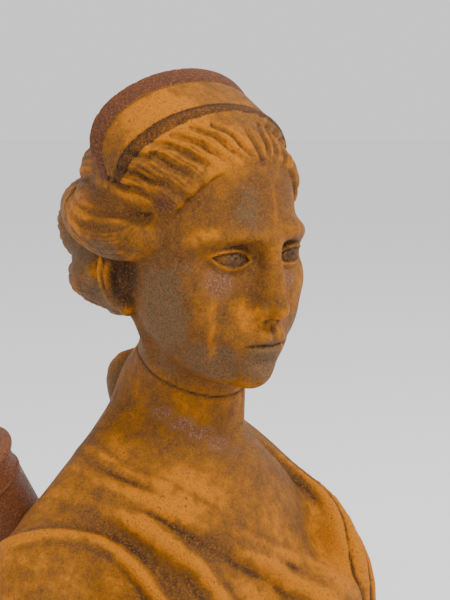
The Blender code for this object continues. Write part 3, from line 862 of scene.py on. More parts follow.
@dataclass
class Torso:
    """Neck, shoulders, breasts and the stumps of the arms."""

    neck_radii: Sequence[float] = (44, 46, 51, 66)

    def forms(self) -> list[Form]:
        """The clay of the chest and the arms, in order."""
        forms: list[Form] = [
            Lump((0, 14, 106), (138, 98, 140), soft=0),
            Lump((0, 8, 10), (124, 88, 130), soft=20),
        ]
        for side, drop in ((-1, 0), (1, 5)):
            ridge = [(0, 40, 278), (side * 60, 34, 227 - drop), (side * 132, 22, 172 - drop * 3)]
            forms.append(Roll(ridge, [28, 26, 31], 26, bends=3))
            forms.append(Lump((side * 76, -66, 70), (54, 48, 50), soft=24))
        return forms + [
            Roll([(-164, 6, 144), (-176, -16, 82), (-178, -28, -20)], [43, 47, 45], 22, bends=3),
            Roll([(143, 4, 116), (164, -4, 78), (176, -8, -20)], [41, 44, 48], 22, bends=3),
            Roll([(-120, 18, 140), (-128, 6, -20)], [42, 54], 26),
            Roll([(112, 18, 130), (126, 4, -20)], [40, 54], 26),
        ]

    def neck(self, hold: Neckhold) -> list[Form]:
        """The neck and its two cords.

        Args:
            hold: Where the head sits.

        Returns:
            The forms in the shoulders' frame.
        """
        forms: list[Form] = [
            Roll([(0, -1, 372), (0, 0, 300), (0, 9, 240), (0, 17, 196)], self.neck_radii, 26, bends=3),
        ]
        for side in (-1, 1):
            cord = np.vstack([hold.out([(side * 58, 24, -40)]), [(side * 13, -31, 232)]])
            forms.append(Roll(cord, [9, 7], 14))
        return forms

    def creases(self) -> list[Crease]:
        """The fin that the mould's joint left up the throat."""
        fin = [(31, -40, 340), (30, -42, 300), (30, -48, 262), (32, -58, 232)]
        return [Crease(fin, 1.8, 0.9, (1, 0.2))]


@dataclass
class Dress:
    """The dress: thick cloth gathered on the left shoulder, swept in folds across the chest."""

    fold_width: float = 14.0
    fold_height: float = 5.0
    valley_width: float = 17.0
    valley_depth: float = 4.6
    pleat_width: float = 5.5
    pleat_depth: float = 2.6
    pleats_at: Sequence[float] = (-17, -8, 1, 10, 19)

    def masses(self) -> list[Form]:
        """The gathered bundle, and the tress of hair that lies on the nape."""
        bundle = [
            (48, 60, 220), (76, 28, 208), (105, -3, 182), (128, -38, 148), (134, -66, 100), (128, -74, 50),
            (120, -68, -10),
        ]
        return [
            Roll(bundle, [14, 18, 19, 20, 22, 25, 28], 16, bends=3),
            Roll([(0, 72, 294), (-2, 81, 280), (0, 79, 258), (0, 70, 230)], [10, 18, 19, 14], 6, bends=3),
        ]

    def ridges(self) -> list[Route]:
        """The backs of the folds that sweep across the chest."""
        return [
            [(-108, 40, 208), (-101, -2, 209), (-70, -44, 194), (-19, -77, 153), (23, -86, 127),
             (60, -108, 97), (90, -108, 52)],
            [(-126, 30, 198), (-104, -16, 193), (-80, -54, 166), (-52, -86, 130), (-20, -100, 92),
             (20, -92, 50), (50, -86, 0)],
            [(-98, -55, 129), (-84, -84, 100), (-66, -112, 64), (-40, -100, 20), (-26, -84, 0)],
        ]

    def valleys(self) -> list[Route]:
        """The hollows between them."""
        return [
            [(-96, 30, 216), (-87, -4, 217), (-72, -31, 206), (-52, -55, 191), (-28, -72, 166),
             (10, -79, 146), (50, -88, 122)],
            [(-112, 10, 202), (-87, -32, 193), (-51, -67, 164), (-21, -80, 141), (15, -88, 112),
             (50, -102, 76)],
            [(-90, -50, 160), (-72, -80, 128), (-44, -104, 84), (-12, -92, 40), (0, -84, 0)],
        ]

    def edges(self) -> list[Crease]:
        """The edge of the sleeve with the hollow beside it, and the neckline on both sides."""
        sleeve = [
            (-168, 50, 160), (-189, 26, 173), (-185, 3, 184), (-154, -20, 186), (-116, -29, 164),
            (-98, -55, 129), (-96, -74, 96), (-110, -76, 40),
        ]
        sleeve_valley = [
            (-143, -10, 190), (-119, -18, 181), (-106, -32, 168), (-96, -47, 155), (-86, -61, 136),
            (-82, -78, 112),
        ]
        neckline = [
            (-84, 51, 226), (-91, 13, 226), (-73, -24, 212), (-47, -57, 190), (-12, -76, 163), (36, -80, 136),
            (76, -82, 125),
        ]
        left_neckline = [
            (40, 46, 238), (58, 0, 232), (88, -24, 212), (108, -44, 184), (112, -58, 156), (104, -70, 136),
        ]
        return [
            Crease(sleeve_valley, 13, -4.5),
            Crease(sleeve, 10, 4.5),
            Crease(neckline, 9, 3.5),
            Crease(left_neckline, 11, -5),
        ]

    def creases(self) -> list[Crease]:
        """The folds: hems and ridges stand up, valleys lie beside them."""
        found = [Crease(route, self.valley_width, -self.valley_depth) for route in self.valleys()]
        found += [Crease(route, self.fold_width, self.fold_height) for route in self.ridges()]
        found += self.edges()
        for inward in self.pleats_at:
            pleat = [
                (84 + inward, 36, 230), (118 + inward, -4, 206), (146 + inward, -40, 162),
                (146 + inward, -70, 110), (136 + inward, -90, 50), (128 + inward, -96, 0),
            ]
            found.append(Crease(pleat, self.pleat_width, -self.pleat_depth))
        return found


def points_of(mesh: bpy.types.Mesh) -> np.ndarray:
    """The places of a mesh's vertices."""
    flat = np.empty(len(mesh.vertices) * 3, np.float32)
    mesh.vertices.foreach_get("co", flat)
    return flat.reshape(-1, 3).astype(float)


def normals_of(mesh: bpy.types.Mesh) -> np.ndarray:
    """The ways out of a mesh at its vertices."""
    flat = np.empty(len(mesh.vertices) * 3, np.float32)
    mesh.vertex_normals.foreach_get("vector", flat)
    return flat.reshape(-1, 3).astype(float)


def set_points(mesh: bpy.types.Mesh, p: np.ndarray) -> None:
    """Moves a mesh's vertices."""
    mesh.vertices.foreach_set("co", p.astype(np.float32).ravel())
    mesh.update()


def linked(name: str, mesh: bpy.types.Mesh) -> bpy.types.Object:
    """Puts a mesh into the scene as an object."""
    thing = bpy.data.objects.new(name, mesh)
    bpy.context.scene.collection.objects.link(thing)
    return thing


def into_mesh(clay: bmesh.types.BMesh, name: str) -> bpy.types.Mesh:
    """Writes worked clay into a new mesh."""
    mesh = bpy.data.meshes.new(name)
    clay.to_mesh(mesh)
    clay.free()
    return mesh


def skinned(thing: bpy.types.Object, grain: float) -> None:
    """Makes one even skin of a thing, with faces of a given size."""
    skin = thing.modifiers.new("knead", "REMESH")
    skin.mode = "VOXEL"
    skin.voxel_size = grain
    applied(thing)


def applied(thing: bpy.types.Object) -> bpy.types.Object:
    """Turns the modified mesh of an object into its own mesh."""
    graph = bpy.context.evaluated_depsgraph_get()
    finished = bpy.data.meshes.new_from_object(thing.evaluated_get(graph))
    thing.modifiers.clear()
    worn, thing.data = thing.data, finished
    bpy.data.meshes.remove(worn)
    return thing


def averaged(values: np.ndarray, edges: np.ndarray, rounds: int) -> np.ndarray:
    """Averages values over neighbouring vertices.

    Args:
        values: One row for each vertex.
        edges: The two ends of each edge.
        rounds: How often it is done.

    Returns:
        The averaged rows.
    """
    a, b = edges.T
    size = len(values)
    count = np.bincount(np.concatenate([a, b]), minlength=size)[:, None]
    for _ in range(rounds):
        sums = [np.bincount(a, column[b], size) + np.bincount(b, column[a], size) for column in values.T]
        values = np.column_stack(sums) / np.maximum(count, 1)
    return values


@dataclass(frozen=True)
class StainAndLightPatch:
    """A patch of one kind as an egg whose edge is left to the finish to break up: a stain of rust or dirt, a
    patch of painted shade, or a patch of painted light.
    """

    kind: str
    at: Point
    radii: Point | float
    strength: float = 1.0
    turn: Point = (0, 0, 0)

    def amount(self, p: np.ndarray) -> np.ndarray:
        """How much of it lies at each point, from 0 to its strength."""
        q = (p - np.array(self.at)) @ turned(self.turn) / (np.ones(3) * self.radii)
        return self.strength * (1 - eased(np.sqrt((q * q).sum(1)) * 1.25 - 0.25))


@dataclass
class Figure:
    """The figure in one skin, from which the castings of head and body are sawn."""

    head_height: float = 0.225
    head_grain: float = 5.0
    body_grain: float = 5.0
    quick_factor: float = 1.5
    joint_at: Point = (0, 4, 298)
    joint_tilt: float = 24
    joint_gap: float = 0.0003
    joint_groove: float = 1.1
    joint_groove_width: float = 2.0
    head_carved_from: float = 250
    dress_carved_to: float = 260
    longest_draw: float = 3.0
    hold: Neckhold = field(default_factory=Neckhold)
    face: Face = field(default_factory=Face)
    hair: Hair = field(default_factory=Hair)
    diadem: Diadem = field(default_factory=Diadem)
    torso: Torso = field(default_factory=Torso)
    dress: Dress = field(default_factory=Dress)
    quiver_room: Optional[Shaft] = None

    @property
    def share(self) -> float:
        """Length of one share, in metres."""
        return self.head_height / 225

    def surfaces(self) -> None:
        """Works out the surfaces of the head's parts, the shoulders and the whole."""
        self.skull = Clay(self.face.forms())
        self.locks = Clay(self.hair.masses())
        self.wall = Clay([self.diadem])
        self.neck_forms = self.torso.neck(self.hold)
        self.trunk_forms = self.torso.forms() + self.neck_forms + self.dress.masses()
        self.trunk = Clay(self.trunk_forms)

    def head_surface(self, q: np.ndarray) -> np.ndarray:
        """Distance of points of the folded head frame to the head."""
        return mixed(mixed(self.skull(q), self.locks(q), 3.0), self.wall(q), 3.0)

    def surface(self, p: np.ndarray) -> np.ndarray:
        """Distance of points to the whole figure."""
        d = mixed(self.head_surface(self.hold.folded(p)), self.trunk(p), 12.0)
        if self.quiver_room is not None:
            d = -mixed(-d, self.quiver_room.distance(p), self.quiver_room.soft)
        return d

    def heap(self, with_head: bool = True, with_body: bool = True) -> bpy.types.Mesh:
        """Heaps up the pellets of all the forms.

        Args:
            with_head: Whether the head's are there.
            with_body: Whether the body's are there, or only the neck's.

        Returns:
            A mesh of overlapping eggs, in shares.
        """
        ball = bmesh.new()
        bmesh.ops.create_icosphere(ball, subdivisions=2, radius=1)
        pellet = into_mesh(ball, "pellet")
        sphere = points_of(pellet)
        mirror = np.diag([-1.0, 1, 1])
        pile = bmesh.new()

        def press(points: np.ndarray) -> None:
            set_points(pellet, points)
            pile.from_mesh(pellet)

        head_forms = self.face.forms() + self.hair.masses() + [self.diadem]
        trunk_forms = self.trunk_forms if with_body else self.neck_forms
        for form in head_forms if with_head else []:
            for centre, radii, turn in form.pellets() if form.work is Work.ADD else []:
                press(self.hold.out((sphere * radii) @ turn.T + centre))
                if abs(centre[0]) > 0.1:
                    press(self.hold.out((sphere * radii) @ (mirror @ turn @ mirror).T + mirror @ centre))
        for form in trunk_forms:
            for centre, radii, turn in form.pellets() if form.work is Work.ADD else []:
                press((sphere * radii) @ turn.T + centre)
        bpy.data.meshes.remove(pellet)
        return into_mesh(pile, "figure")

    def kneaded(self, mesh: bpy.types.Mesh, grain: float, fine: bool) -> bpy.types.Object:
        """Makes one even skin of the heap and settles it onto the surface.

        Args:
            mesh: The heap of pellets.
            grain: Size of the skin's faces before they are halved.
            fine: Whether the face and the hair round it get finer faces.

        Returns:
            The figure's object, in shares.
        """
        thing = linked("figure", mesh)
        skinned(thing, grain)
        if self.quiver_room is not None:
            self.quiver_room.sunk_in(thing)
            skinned(thing, grain)
        set_points(thing.data, settled(self.surface, points_of(thing.data), 3))
        self.relaxed(thing.data, 2)
        set_points(thing.data, settled(self.surface, points_of(thing.data), 1))
        halved = thing.modifiers.new("halve", "SUBSURF")
        halved.levels = halved.render_levels = 1
        applied(thing)
        if fine:
            self.refined(thing.data)
        self.drawn_in(thing.data)
        return thing

    def relaxed(self, mesh: bpy.types.Mesh, rounds: int) -> None:
        """Evens out the faces of a mesh."""
        clay = bmesh.new()
        clay.from_mesh(mesh)
        for _ in range(rounds):
            bmesh.ops.smooth_vert(clay, verts=clay.verts, factor=0.5, use_axis_x=True, use_axis_y=True,
                                  use_axis_z=True)
        clay.to_mesh(mesh)
        clay.free()

    def refined(self, mesh: bpy.types.Mesh) -> None:
        """Gives the face and the hair round it finer faces than the rest."""
        q = self.hold.folded(points_of(mesh))
        fine = (q[:, 1] < 24) & (q[:, 2] > -96) & (q[:, 2] < 100)
        clay = bmesh.new()
        clay.from_mesh(mesh)
        clay.verts.ensure_lookup_table()
        edges = [edge for edge in clay.edges if fine[edge.verts[0].index] and fine[edge.verts[1].index]]
        bmesh.ops.subdivide_edges(clay, edges=edges, cuts=1, use_grid_fill=True)
        ragged = [face for face in clay.faces if len(face.verts) > 4]
        bmesh.ops.triangulate(clay, faces=ragged)
        clay.to_mesh(mesh)
        clay.free()

    def drawn_in(self, mesh: bpy.types.Mesh) -> None:
        """Moves vertices straight in or out along the mesh's own normals onto the surface."""
        p = points_of(mesh)
        d = self.surface(p)
        set_points(mesh, p - normals_of(mesh) * np.clip(d, -self.longest_draw, self.longest_draw)[:, None])

    def carved(self, mesh: bpy.types.Mesh) -> None:
        """Carves the locks, the face's lines and the folds."""
        p = points_of(mesh)
        q = self.hold.folded(p)
        lift = np.zeros(len(p))
        head = np.flatnonzero(p[:, 2] > self.head_carved_from)
        lift[head] += Relief(self.locks, self.hair.creases())(q[head])
        lift[head] += Relief(self.skull, self.face.creases())(q[head])
        lift[head] += self.face.eye.lift(q[head]) + self.diadem.lift(q[head])
        lift += Relief(self.trunk, self.torso.creases())(p)
        low = np.flatnonzero(p[:, 2] < self.dress_carved_to)
        if len(low):
            lift[low] += Relief(self.trunk, self.dress.creases())(p[low])
        away = (p - self.joint_at) @ self.across
        lift -= self.joint_groove * np.maximum(1 - (away / self.joint_groove_width) ** 2, 0)
        set_points(mesh, p + normals_of(mesh) * lift[:, None])

    @property
    def across(self) -> np.ndarray:
        """The way up out of the joint between head and body."""
        tilt = math.radians(self.joint_tilt)
        return np.array([0, -math.sin(tilt), math.cos(tilt)])

    def note_stains_and_painted_light(self, mesh: bpy.types.Mesh, carved_from: np.ndarray) -> None:
        """Notes on the skin where rust and dirt of each kind lie, where painted shade darkens hollows and
        shadowed places, and where painted light and painted glints brighten it, for the finishes to read.

        Args:
            mesh: The carved figure, in shares.
            carved_from: Its vertices before they were carved.
        """
        p = points_of(mesh)
        out = normals_of(mesh)
        ends = np.empty(len(mesh.edges) * 2, np.int32)
        mesh.edges.foreach_get("vertices", ends)
        edges = ends.reshape(-1, 2)
        near = averaged(p, edges, 4)
        far = averaged(near, edges, 36)
        fine = ((near - p) * out).sum(1)
        broad = ((far - p) * out).sum(1)
        cut = ((carved_from - p) * out).sum(1)
        q = self.hold.into(carved_from)
        folded = self.hold.folded(carved_from)
        amounts = {kind: np.zeros(len(p)) for kind in ("soot", "plum", "rose", "orange_and_painted_light", "dark", "drip")}
        for places, stains_and_lights in ((q, HEAD_STAINS_AND_LIGHT), (p, BODY_STAINS_AND_LIGHT)):
            for patch in stains_and_lights:
                amounts[patch.kind] = np.maximum(amounts[patch.kind], patch.amount(places))
        face = np.flatnonzero((q[:, 1] < -30) & (q[:, 2] > -125) & (q[:, 2] < 90))
        amounts["drip"][face] = Relief(self.skull_both, DRIPS)(q[face])
        amounts["plum"] = np.maximum(amounts["plum"], self.diadem.on_crest(folded))
        # Painted shadow in the groove where the diadem's foot meets the hair.
        amounts["dark"] = np.maximum(amounts["dark"], self.diadem.shadow_above_foot(folded))
        # Painted shade and painted light from the skin's own bends: hollows and carved grooves are marked to
        # be darkened, ridges and crests to be lightened.
        amounts["hollow"] = np.clip(fine * 1.0 + broad * 0.02, 0, 1)
        amounts["shade"] = np.clip(fine * 0.8 + broad * 0.10 + cut * 0.05, 0, 1)
        amounts["ridge"] = np.clip(-fine * 0.8 - broad * 0.14 - cut * 0.08, 0, 1)
        for kind, amount in amounts.items():
            mesh.attributes.new(kind, "FLOAT", "POINT").data.foreach_set("value", amount.astype(np.float32))

    def skull_both(self, q: np.ndarray) -> np.ndarray:
        """Distance of points of the unfolded head frame to the bare head."""
        q = q.copy()
        q[:, 0] = np.abs(q[:, 0])
        return self.skull(q)

    def sawn(self, mesh: bpy.types.Mesh, name: str,
             cuts: Sequence[tuple[Vector, Vector]]) -> bpy.types.Object:
        """Saws a casting out of a copy of the figure and closes the cuts.

        Args:
            mesh: The figure, in metres.
            name: Name of the new piece.
            cuts: Place of each cut, and the way that is taken off.

        Returns:
            The casting's object.
        """
        clay = bmesh.new()
        clay.from_mesh(mesh)
        for place, away in cuts:
            geometry = clay.verts[:] + clay.edges[:] + clay.faces[:]
            bmesh.ops.bisect_plane(clay, geom=geometry, plane_co=place, plane_no=away, clear_outer=True,
                                   dist=1e-6)
            bmesh.ops.holes_fill(clay, edges=[edge for edge in clay.edges if edge.is_boundary])
        bmesh.ops.triangulate(clay, faces=[face for face in clay.faces if len(face.verts) > 4])
        piece = into_mesh(clay, name)
        piece.shade_smooth()
        piece.set_sharp_from_angle(angle=math.radians(60))
        return linked(name, piece)

    def casting(self, name: str, grain: float, heap: bpy.types.Mesh, cuts: Sequence[tuple[Vector, Vector]],
                fine: bool) -> bpy.types.Object:
        """Models one casting: kneads and carves it, notes its stains, painted shade and painted light, and
        saws it.

        Args:
            name: The new piece's name.
            grain: Size of its skin's faces before they are halved, in shares.
            heap: The pellets that it is kneaded from.
            cuts: The cuts that end it.
            fine: Whether the face is on it, which needs finer faces.

        Returns:
            The casting's object, in metres.
        """
        figure = self.kneaded(heap, grain * (1), fine)
        smooth = points_of(figure.data)
        self.carved(figure.data)
        self.note_stains_and_painted_light(figure.data, smooth)
        set_points(figure.data, points_of(figure.data) * self.share)
        piece = self.sawn(figure.data, name, cuts)
        bpy.data.objects.remove(figure)
        return piece

    def castings(self) -> tuple[bpy.types.Object, bpy.types.Object]:
        """Models the figure as its two castings, which meet at the neck.

        Returns:
            The head and the body, in metres.
        """
        self.surfaces()
        joint, up = Vector(self.joint_at) * self.share, Vector(self.across)
        lower = joint - up * self.joint_gap
        head = self.casting("head_casting", self.head_grain, self.heap(with_body=False), [(joint, -up)], True)
        ends = [(lower, up), (Vector((0, 0, 0)), Vector((0, 0, -1)))]
        body = self.casting("body_casting", self.body_grain, self.heap(with_head=False), ends, False)
        return head, body


HEAD_STAINS_AND_LIGHT = (
    StainAndLightPatch("soot", (-60, -36, -50), (32, 44, 80)),
    StainAndLightPatch("soot", (-36, -66, -88), (40, 40, 34)),
    StainAndLightPatch("soot", (-4, -96, -84), (30, 34, 34)),
    StainAndLightPatch("soot", (-50, 95, -20), (50, 60, 70), 0.9),
    StainAndLightPatch("soot", (-88, 18, -12), (20, 26, 24), 0.9),
    StainAndLightPatch("soot", (-24, -84, 44), (26, 24, 38), 0.6),
    StainAndLightPatch("soot", (60, 40, -30), (50, 90, 60), 0.7),
    StainAndLightPatch("soot", (-60, 50, -60), (40, 60, 30), 0.9),
    StainAndLightPatch("plum", (-66, -28, 40), (20, 22, 18)),
    StainAndLightPatch("plum", (0, -72, 78), (9, 12, 10)),
    # Rose patches: a plum tint with painted pink glints, painted highlights on the cheeks and the side of the
    # hair.
    StainAndLightPatch("rose", (-40, -68, -22), (24, 22, 22)),
    StainAndLightPatch("rose", (30, -76, -20), (16, 16, 16), 0.8),
    StainAndLightPatch("rose", (-80, 48, 24), (20, 24, 16), 0.7),
    # Orange patches: brighter orange rust mixed with painted light on the hair, the diadem's face and the top
    # of the head, and a painted highlight on the cheek under the eye.
    StainAndLightPatch("orange_and_painted_light", (-30, -56, 84), (54, 44, 36)),
    StainAndLightPatch("orange_and_painted_light", (-66, 10, 44), (30, 50, 26)),
    StainAndLightPatch("orange_and_painted_light", (-84, 50, 14), (26, 38, 32), 1.7),
    StainAndLightPatch("orange_and_painted_light", (-56, -8, 102), (62, 54, 44), 1.7),
    StainAndLightPatch("orange_and_painted_light", (-20, -82, -46), (18, 24, 22)),
    StainAndLightPatch("orange_and_painted_light", (0, 20, 110), (90, 70, 30), 0.9),
    StainAndLightPatch("orange_and_painted_light", (-44, -64, 18), (22, 20, 10), 0.8),
    # Dark patches are painted shade: the eye sockets and the eyes in them, round the ear, the temple and
    # under the side roll of hair, and under the jaw.
    StainAndLightPatch("dark", (-30, -66, 6), (25, 24, 13), 1.05),
    StainAndLightPatch("dark", (30, -66, 6), (25, 24, 13), 1.05),
    StainAndLightPatch("dark", (-31, -76, -1), (19, 14, 12), 0.75),
    StainAndLightPatch("dark", (31, -76, -1), (19, 14, 12), 0.75),
    StainAndLightPatch("dark", (-70, 10, -34), (20, 34, 40), 1.25),
    StainAndLightPatch("dark", (-64, -16, 6), (16, 16, 26), 0.8),
    StainAndLightPatch("dark", (-66, -26, 34), (16, 16, 12), 0.9),
    StainAndLightPatch("dark", (-78, 4, 30), (12, 30, 10), 0.8),
    StainAndLightPatch("dark", (-50, 10, -84), (40, 50, 18), 0.6),
    StainAndLightPatch("soot", (-31, -80, 0), (18, 10, 10), 1.0),
    StainAndLightPatch("soot", (31, -80, 0), (18, 10, 10), 1.0),
    # Painted shade under the nose.
    StainAndLightPatch("dark", (0, -84, -54), (22, 22, 8), 0.8),
)
BODY_STAINS_AND_LIGHT = (
    # Rose patches along the base of the neck: a plum tint with painted pink glints, a band of painted
    # highlights.
    StainAndLightPatch("rose", (-66, 2, 272), (26, 24, 13), 0.75),
    StainAndLightPatch("rose", (-56, -14, 264), (26, 24, 12), 0.75),
    StainAndLightPatch("rose", (-44, -30, 256), (26, 24, 12), 0.75),
    StainAndLightPatch("rose", (-30, -42, 247), (26, 24, 12), 0.75),
    StainAndLightPatch("rose", (-14, -52, 238), (26, 24, 12), 0.7),
    StainAndLightPatch("rose", (4, -60, 230), (24, 24, 11), 0.6),
    StainAndLightPatch("soot", (-10, -20, 310), (70, 70, 30), 0.8),
    # Orange patches: brighter orange rust mixed with painted light on the chest and the shoulder; the
    # strongest is painted light on the gathered bundle, where its own folds shade it.
    StainAndLightPatch("orange_and_painted_light", (-60, -50, 200), (70, 60, 40), 0.9),
    StainAndLightPatch("orange_and_painted_light", (20, -90, 120), (110, 50, 80), 0.9),
    StainAndLightPatch("orange_and_painted_light", (-150, -30, 110), (60, 60, 70), 0.7),
    StainAndLightPatch("orange_and_painted_light", (122, -60, 120), (60, 60, 90), 1.7),
    StainAndLightPatch("plum", (-100, -60, 110), (40, 40, 50), 0.4),
    # Painted shade on the neck under the chin.
    StainAndLightPatch("dark", (0, -20, 312), (60, 60, 22), 0.6),
    StainAndLightPatch("soot", (-10, 78, 268), (30, 30, 50), 1.0),
)
DRIPS = (
    Crease([(-58, -48, 2), (-60, -43, -24), (-58, -42, -48)], 3.4, 0.4, (0.6, 0.0)),
    Crease([(-44, -66, -26), (-40, -68, -58), (-36, -66, -92)], 11.0, 0.75, (0.1, 0.8)),
    Crease([(-24, -82, -46), (-22, -82, -58)], 7.0, 0.9, (0.7, 0.2)),
    Crease([(12, -96, -50), (14, -92, -72), (13, -86, -96)], 4.5, 0.9, (0.6, 0.4)),
    Crease([(2, -74, 74), (5, -86, 44), (3, -92, 14)], 7.0, 0.5, (1.0, 0.2)),
)


@dataclass
class Quiver:
    """The quiver: a turned tube on the back, with a round bead at its mouth."""

    mouth_radius: float = 0.038
    foot_radius: float = 0.031
    wall: float = 0.006
    bead: float = 0.005
    length: float = 0.33
    bore_depth: float = 0.090
    lean: float = 32
    sides: int = 96
    mouth_at: Point = (-150, 128, 222)
    clearance: float = 0.0003
    ring_at: Sequence[float] = (0.030, 0.118)
    ring_height: float = 0.0012
    ring_stretch: float = 1.8
    lip: float = 0.0012
    room_above: float = 4

    @property
    def axis(self) -> Vector:
        """The way out of the mouth."""
        lean = math.radians(self.lean)
        return Vector((-math.sin(lean), 0, math.cos(lean)))

    def room(self, share: float) -> Shaft:
        """The room that the quiver takes in the figure.

        Args:
            share: Length of one share, in metres.

        Returns:
            The shaft to scoop out, in shares.
        """
        top = np.array(self.mouth_at) + np.array(self.axis) * self.room_above
        foot = top - np.array(self.axis) * self.length / share
        grow = self.clearance * 2
        return Shaft(top, foot, ((self.mouth_radius + grow) / share, (self.foot_radius + grow) / share))

    def outline(self) -> list[tuple[float, float]]:
        """The section from the middle of the foot round the mouth to the middle of the bore."""
        slant = (self.mouth_radius - self.foot_radius) / self.length
        found = [(0, -self.length), (self.foot_radius, -self.length)]
        for depth in sorted(self.ring_at, reverse=True):
            radius = self.mouth_radius - slant * depth
            for a in range(0, 181, 30):
                out, along = math.sin(math.radians(a)), -math.cos(math.radians(a))
                along *= self.ring_stretch * self.ring_height
                found.append((radius + self.ring_height * out, -depth + along))
        middle = self.mouth_radius - self.wall / 2
        for a in range(170, -1, -10):
            out, up = math.sin(math.radians(a)), math.cos(math.radians(a))
            found.append((middle + (self.wall / 2 + self.bead) * out, -self.bead + self.bead * up))
        bore = self.mouth_radius - self.wall
        foot = bore - slant * self.bore_depth
        return found + [
            (bore + self.lip, -self.bead * 0.5),
            (bore, -self.bead * 1.2),
            (foot, self.bead - self.bore_depth),
            (foot - self.bead * 0.4, self.bead * 0.3 - self.bore_depth),
            (foot - self.bead, -self.bore_depth),
            (0, -self.bore_depth),
        ]

    def casting(self, share: float) -> bpy.types.Object:
        """Turns the quiver and cuts it flat at the underside.

        Args:
            share: Length of one share, in metres.

        Returns:
            The quiver's object.
        """
        tube = bmesh.new()
        verts = [tube.verts.new((x, 0, z)) for x, z in self.outline()]
        edges = [tube.edges.new(pair) for pair in zip(verts, verts[1:])]
        bmesh.ops.spin(tube, geom=verts + edges, axis=(0, 0, 1), cent=(0, 0, 0), angle=2 * math.pi,
                       steps=self.sides, use_merge=True)
        bmesh.ops.remove_doubles(tube, verts=tube.verts, dist=1e-6)
        bmesh.ops.recalc_face_normals(tube, faces=tube.faces)
        turn = Vector((0, 0, 1)).rotation_difference(self.axis).to_matrix()
        bmesh.ops.rotate(tube, verts=tube.verts, matrix=turn)
        bmesh.ops.translate(tube, verts=tube.verts, vec=Vector(self.mouth_at) * share)
        geometry = tube.verts[:] + tube.edges[:] + tube.faces[:]
        bmesh.ops.bisect_plane(tube, geom=geometry, plane_co=(0, 0, 0), plane_no=(0, 0, -1),
                               clear_outer=True)
        bmesh.ops.holes_fill(tube, edges=[edge for edge in tube.edges if edge.is_boundary])
        bmesh.ops.triangulate(tube, faces=[face for face in tube.faces if len(face.verts) > 4])
        mesh = into_mesh(tube, "quiver_casting")
        mesh.shade_smooth()
        mesh.set_sharp_from_angle(angle=math.radians(40))
        return linked("quiver_casting", mesh)


Colour = tuple[float, float, float]
Socket = bpy.types.NodeSocket


class Board:
    """A material's nodes, wired by short calls."""

    def __init__(self, name: str) -> None:
        """Starts a material with its shader and its coordinates."""
        self.material = bpy.data.materials.new(name)
        self.material.use_nodes = True
        self.tree = self.material.node_tree
        self.shader = self.tree.nodes["Principled BSDF"]
        self.places = self.tree.nodes.new("ShaderNodeTexCoord").outputs["Object"]

    def wire(self, source: Socket, target: Socket) -> None:
        """Wires one socket to another."""
        self.tree.links.new(source, target)

    def noise(self, scale: float, detail: float = 4, roughness: float = 0.55,
              stretch: Point = (1, 1, 1)) -> Socket:
        """Makes a noise in the object's own space.

        Args:
            scale: How many lumps there are to a metre.
            detail: How many finer layers it has.
            roughness: How strong they are.
            stretch: How much denser it is along each axis.

        Returns:
            Its strength, about 0.5 on average.
        """
        spread = self.tree.nodes.new("ShaderNodeMapping")
        spread.inputs["Scale"].default_value = stretch
        self.wire(self.places, spread.inputs["Vector"])
        noise = self.tree.nodes.new("ShaderNodeTexNoise")
        noise.inputs["Scale"].default_value = scale
        noise.inputs["Detail"].default_value = detail
        noise.inputs["Roughness"].default_value = roughness
        self.wire(spread.outputs["Vector"], noise.inputs["Vector"])
        return noise.outputs["Fac"]

    def step(self, value: Socket, low: float, high: float, top: float = 1.0) -> Socket:
        """Maps a value smoothly from 0 at low to top at high."""
        node = self.tree.nodes.new("ShaderNodeMapRange")
        node.interpolation_type = "SMOOTHSTEP"
        self.wire(value, node.inputs["Value"])
        for name, number in (("From Min", low), ("From Max", high), ("To Min", 0.0), ("To Max", top)):
            node.inputs[name].default_value = number
        return node.outputs["Result"]

    def math(self, operation: str, a: Socket | float, b: Socket | float) -> Socket:
        """Works out one number from two."""
        node = self.tree.nodes.new("ShaderNodeMath")
        node.operation = operation
        for value, socket in zip((a, b), node.inputs):
            if isinstance(value, (int, float)):
                socket.default_value = value
            else:
                self.wire(value, socket)
        return node.outputs["Value"]

    def sum(self, *parts: tuple[Socket, float], rest: float = 0.0) -> Socket:
        """Adds up values, each with its weight, and a fixed rest."""
        total = rest
        for value, weight in parts:
            total = self.math("ADD", total, self.math("MULTIPLY", value, weight))
        return total

    def blend(self, amount: Socket, a: Socket | Colour, b: Socket | Colour) -> Socket:
        """Blends two colours.

        Args:
            amount: How much of the second shows.
            a: The first colour.
            b: The second colour.

        Returns:
            The blended colour.
        """
        node = self.tree.nodes.new("ShaderNodeMix")
        node.data_type = "RGBA"
        sockets = node.inputs["Factor"], node.inputs[6], node.inputs[7]
        for value, socket in zip((amount, a, b), sockets):
            if isinstance(value, tuple):
                socket.default_value = (*value, 1)
            else:
                self.wire(value, socket)
        return node.outputs[2]

    def noted(self, name: str) -> Socket:
        """Reads what was noted on the skin under a name."""
        node = self.tree.nodes.new("ShaderNodeAttribute")
        node.attribute_name = name
        return node.outputs["Fac"]


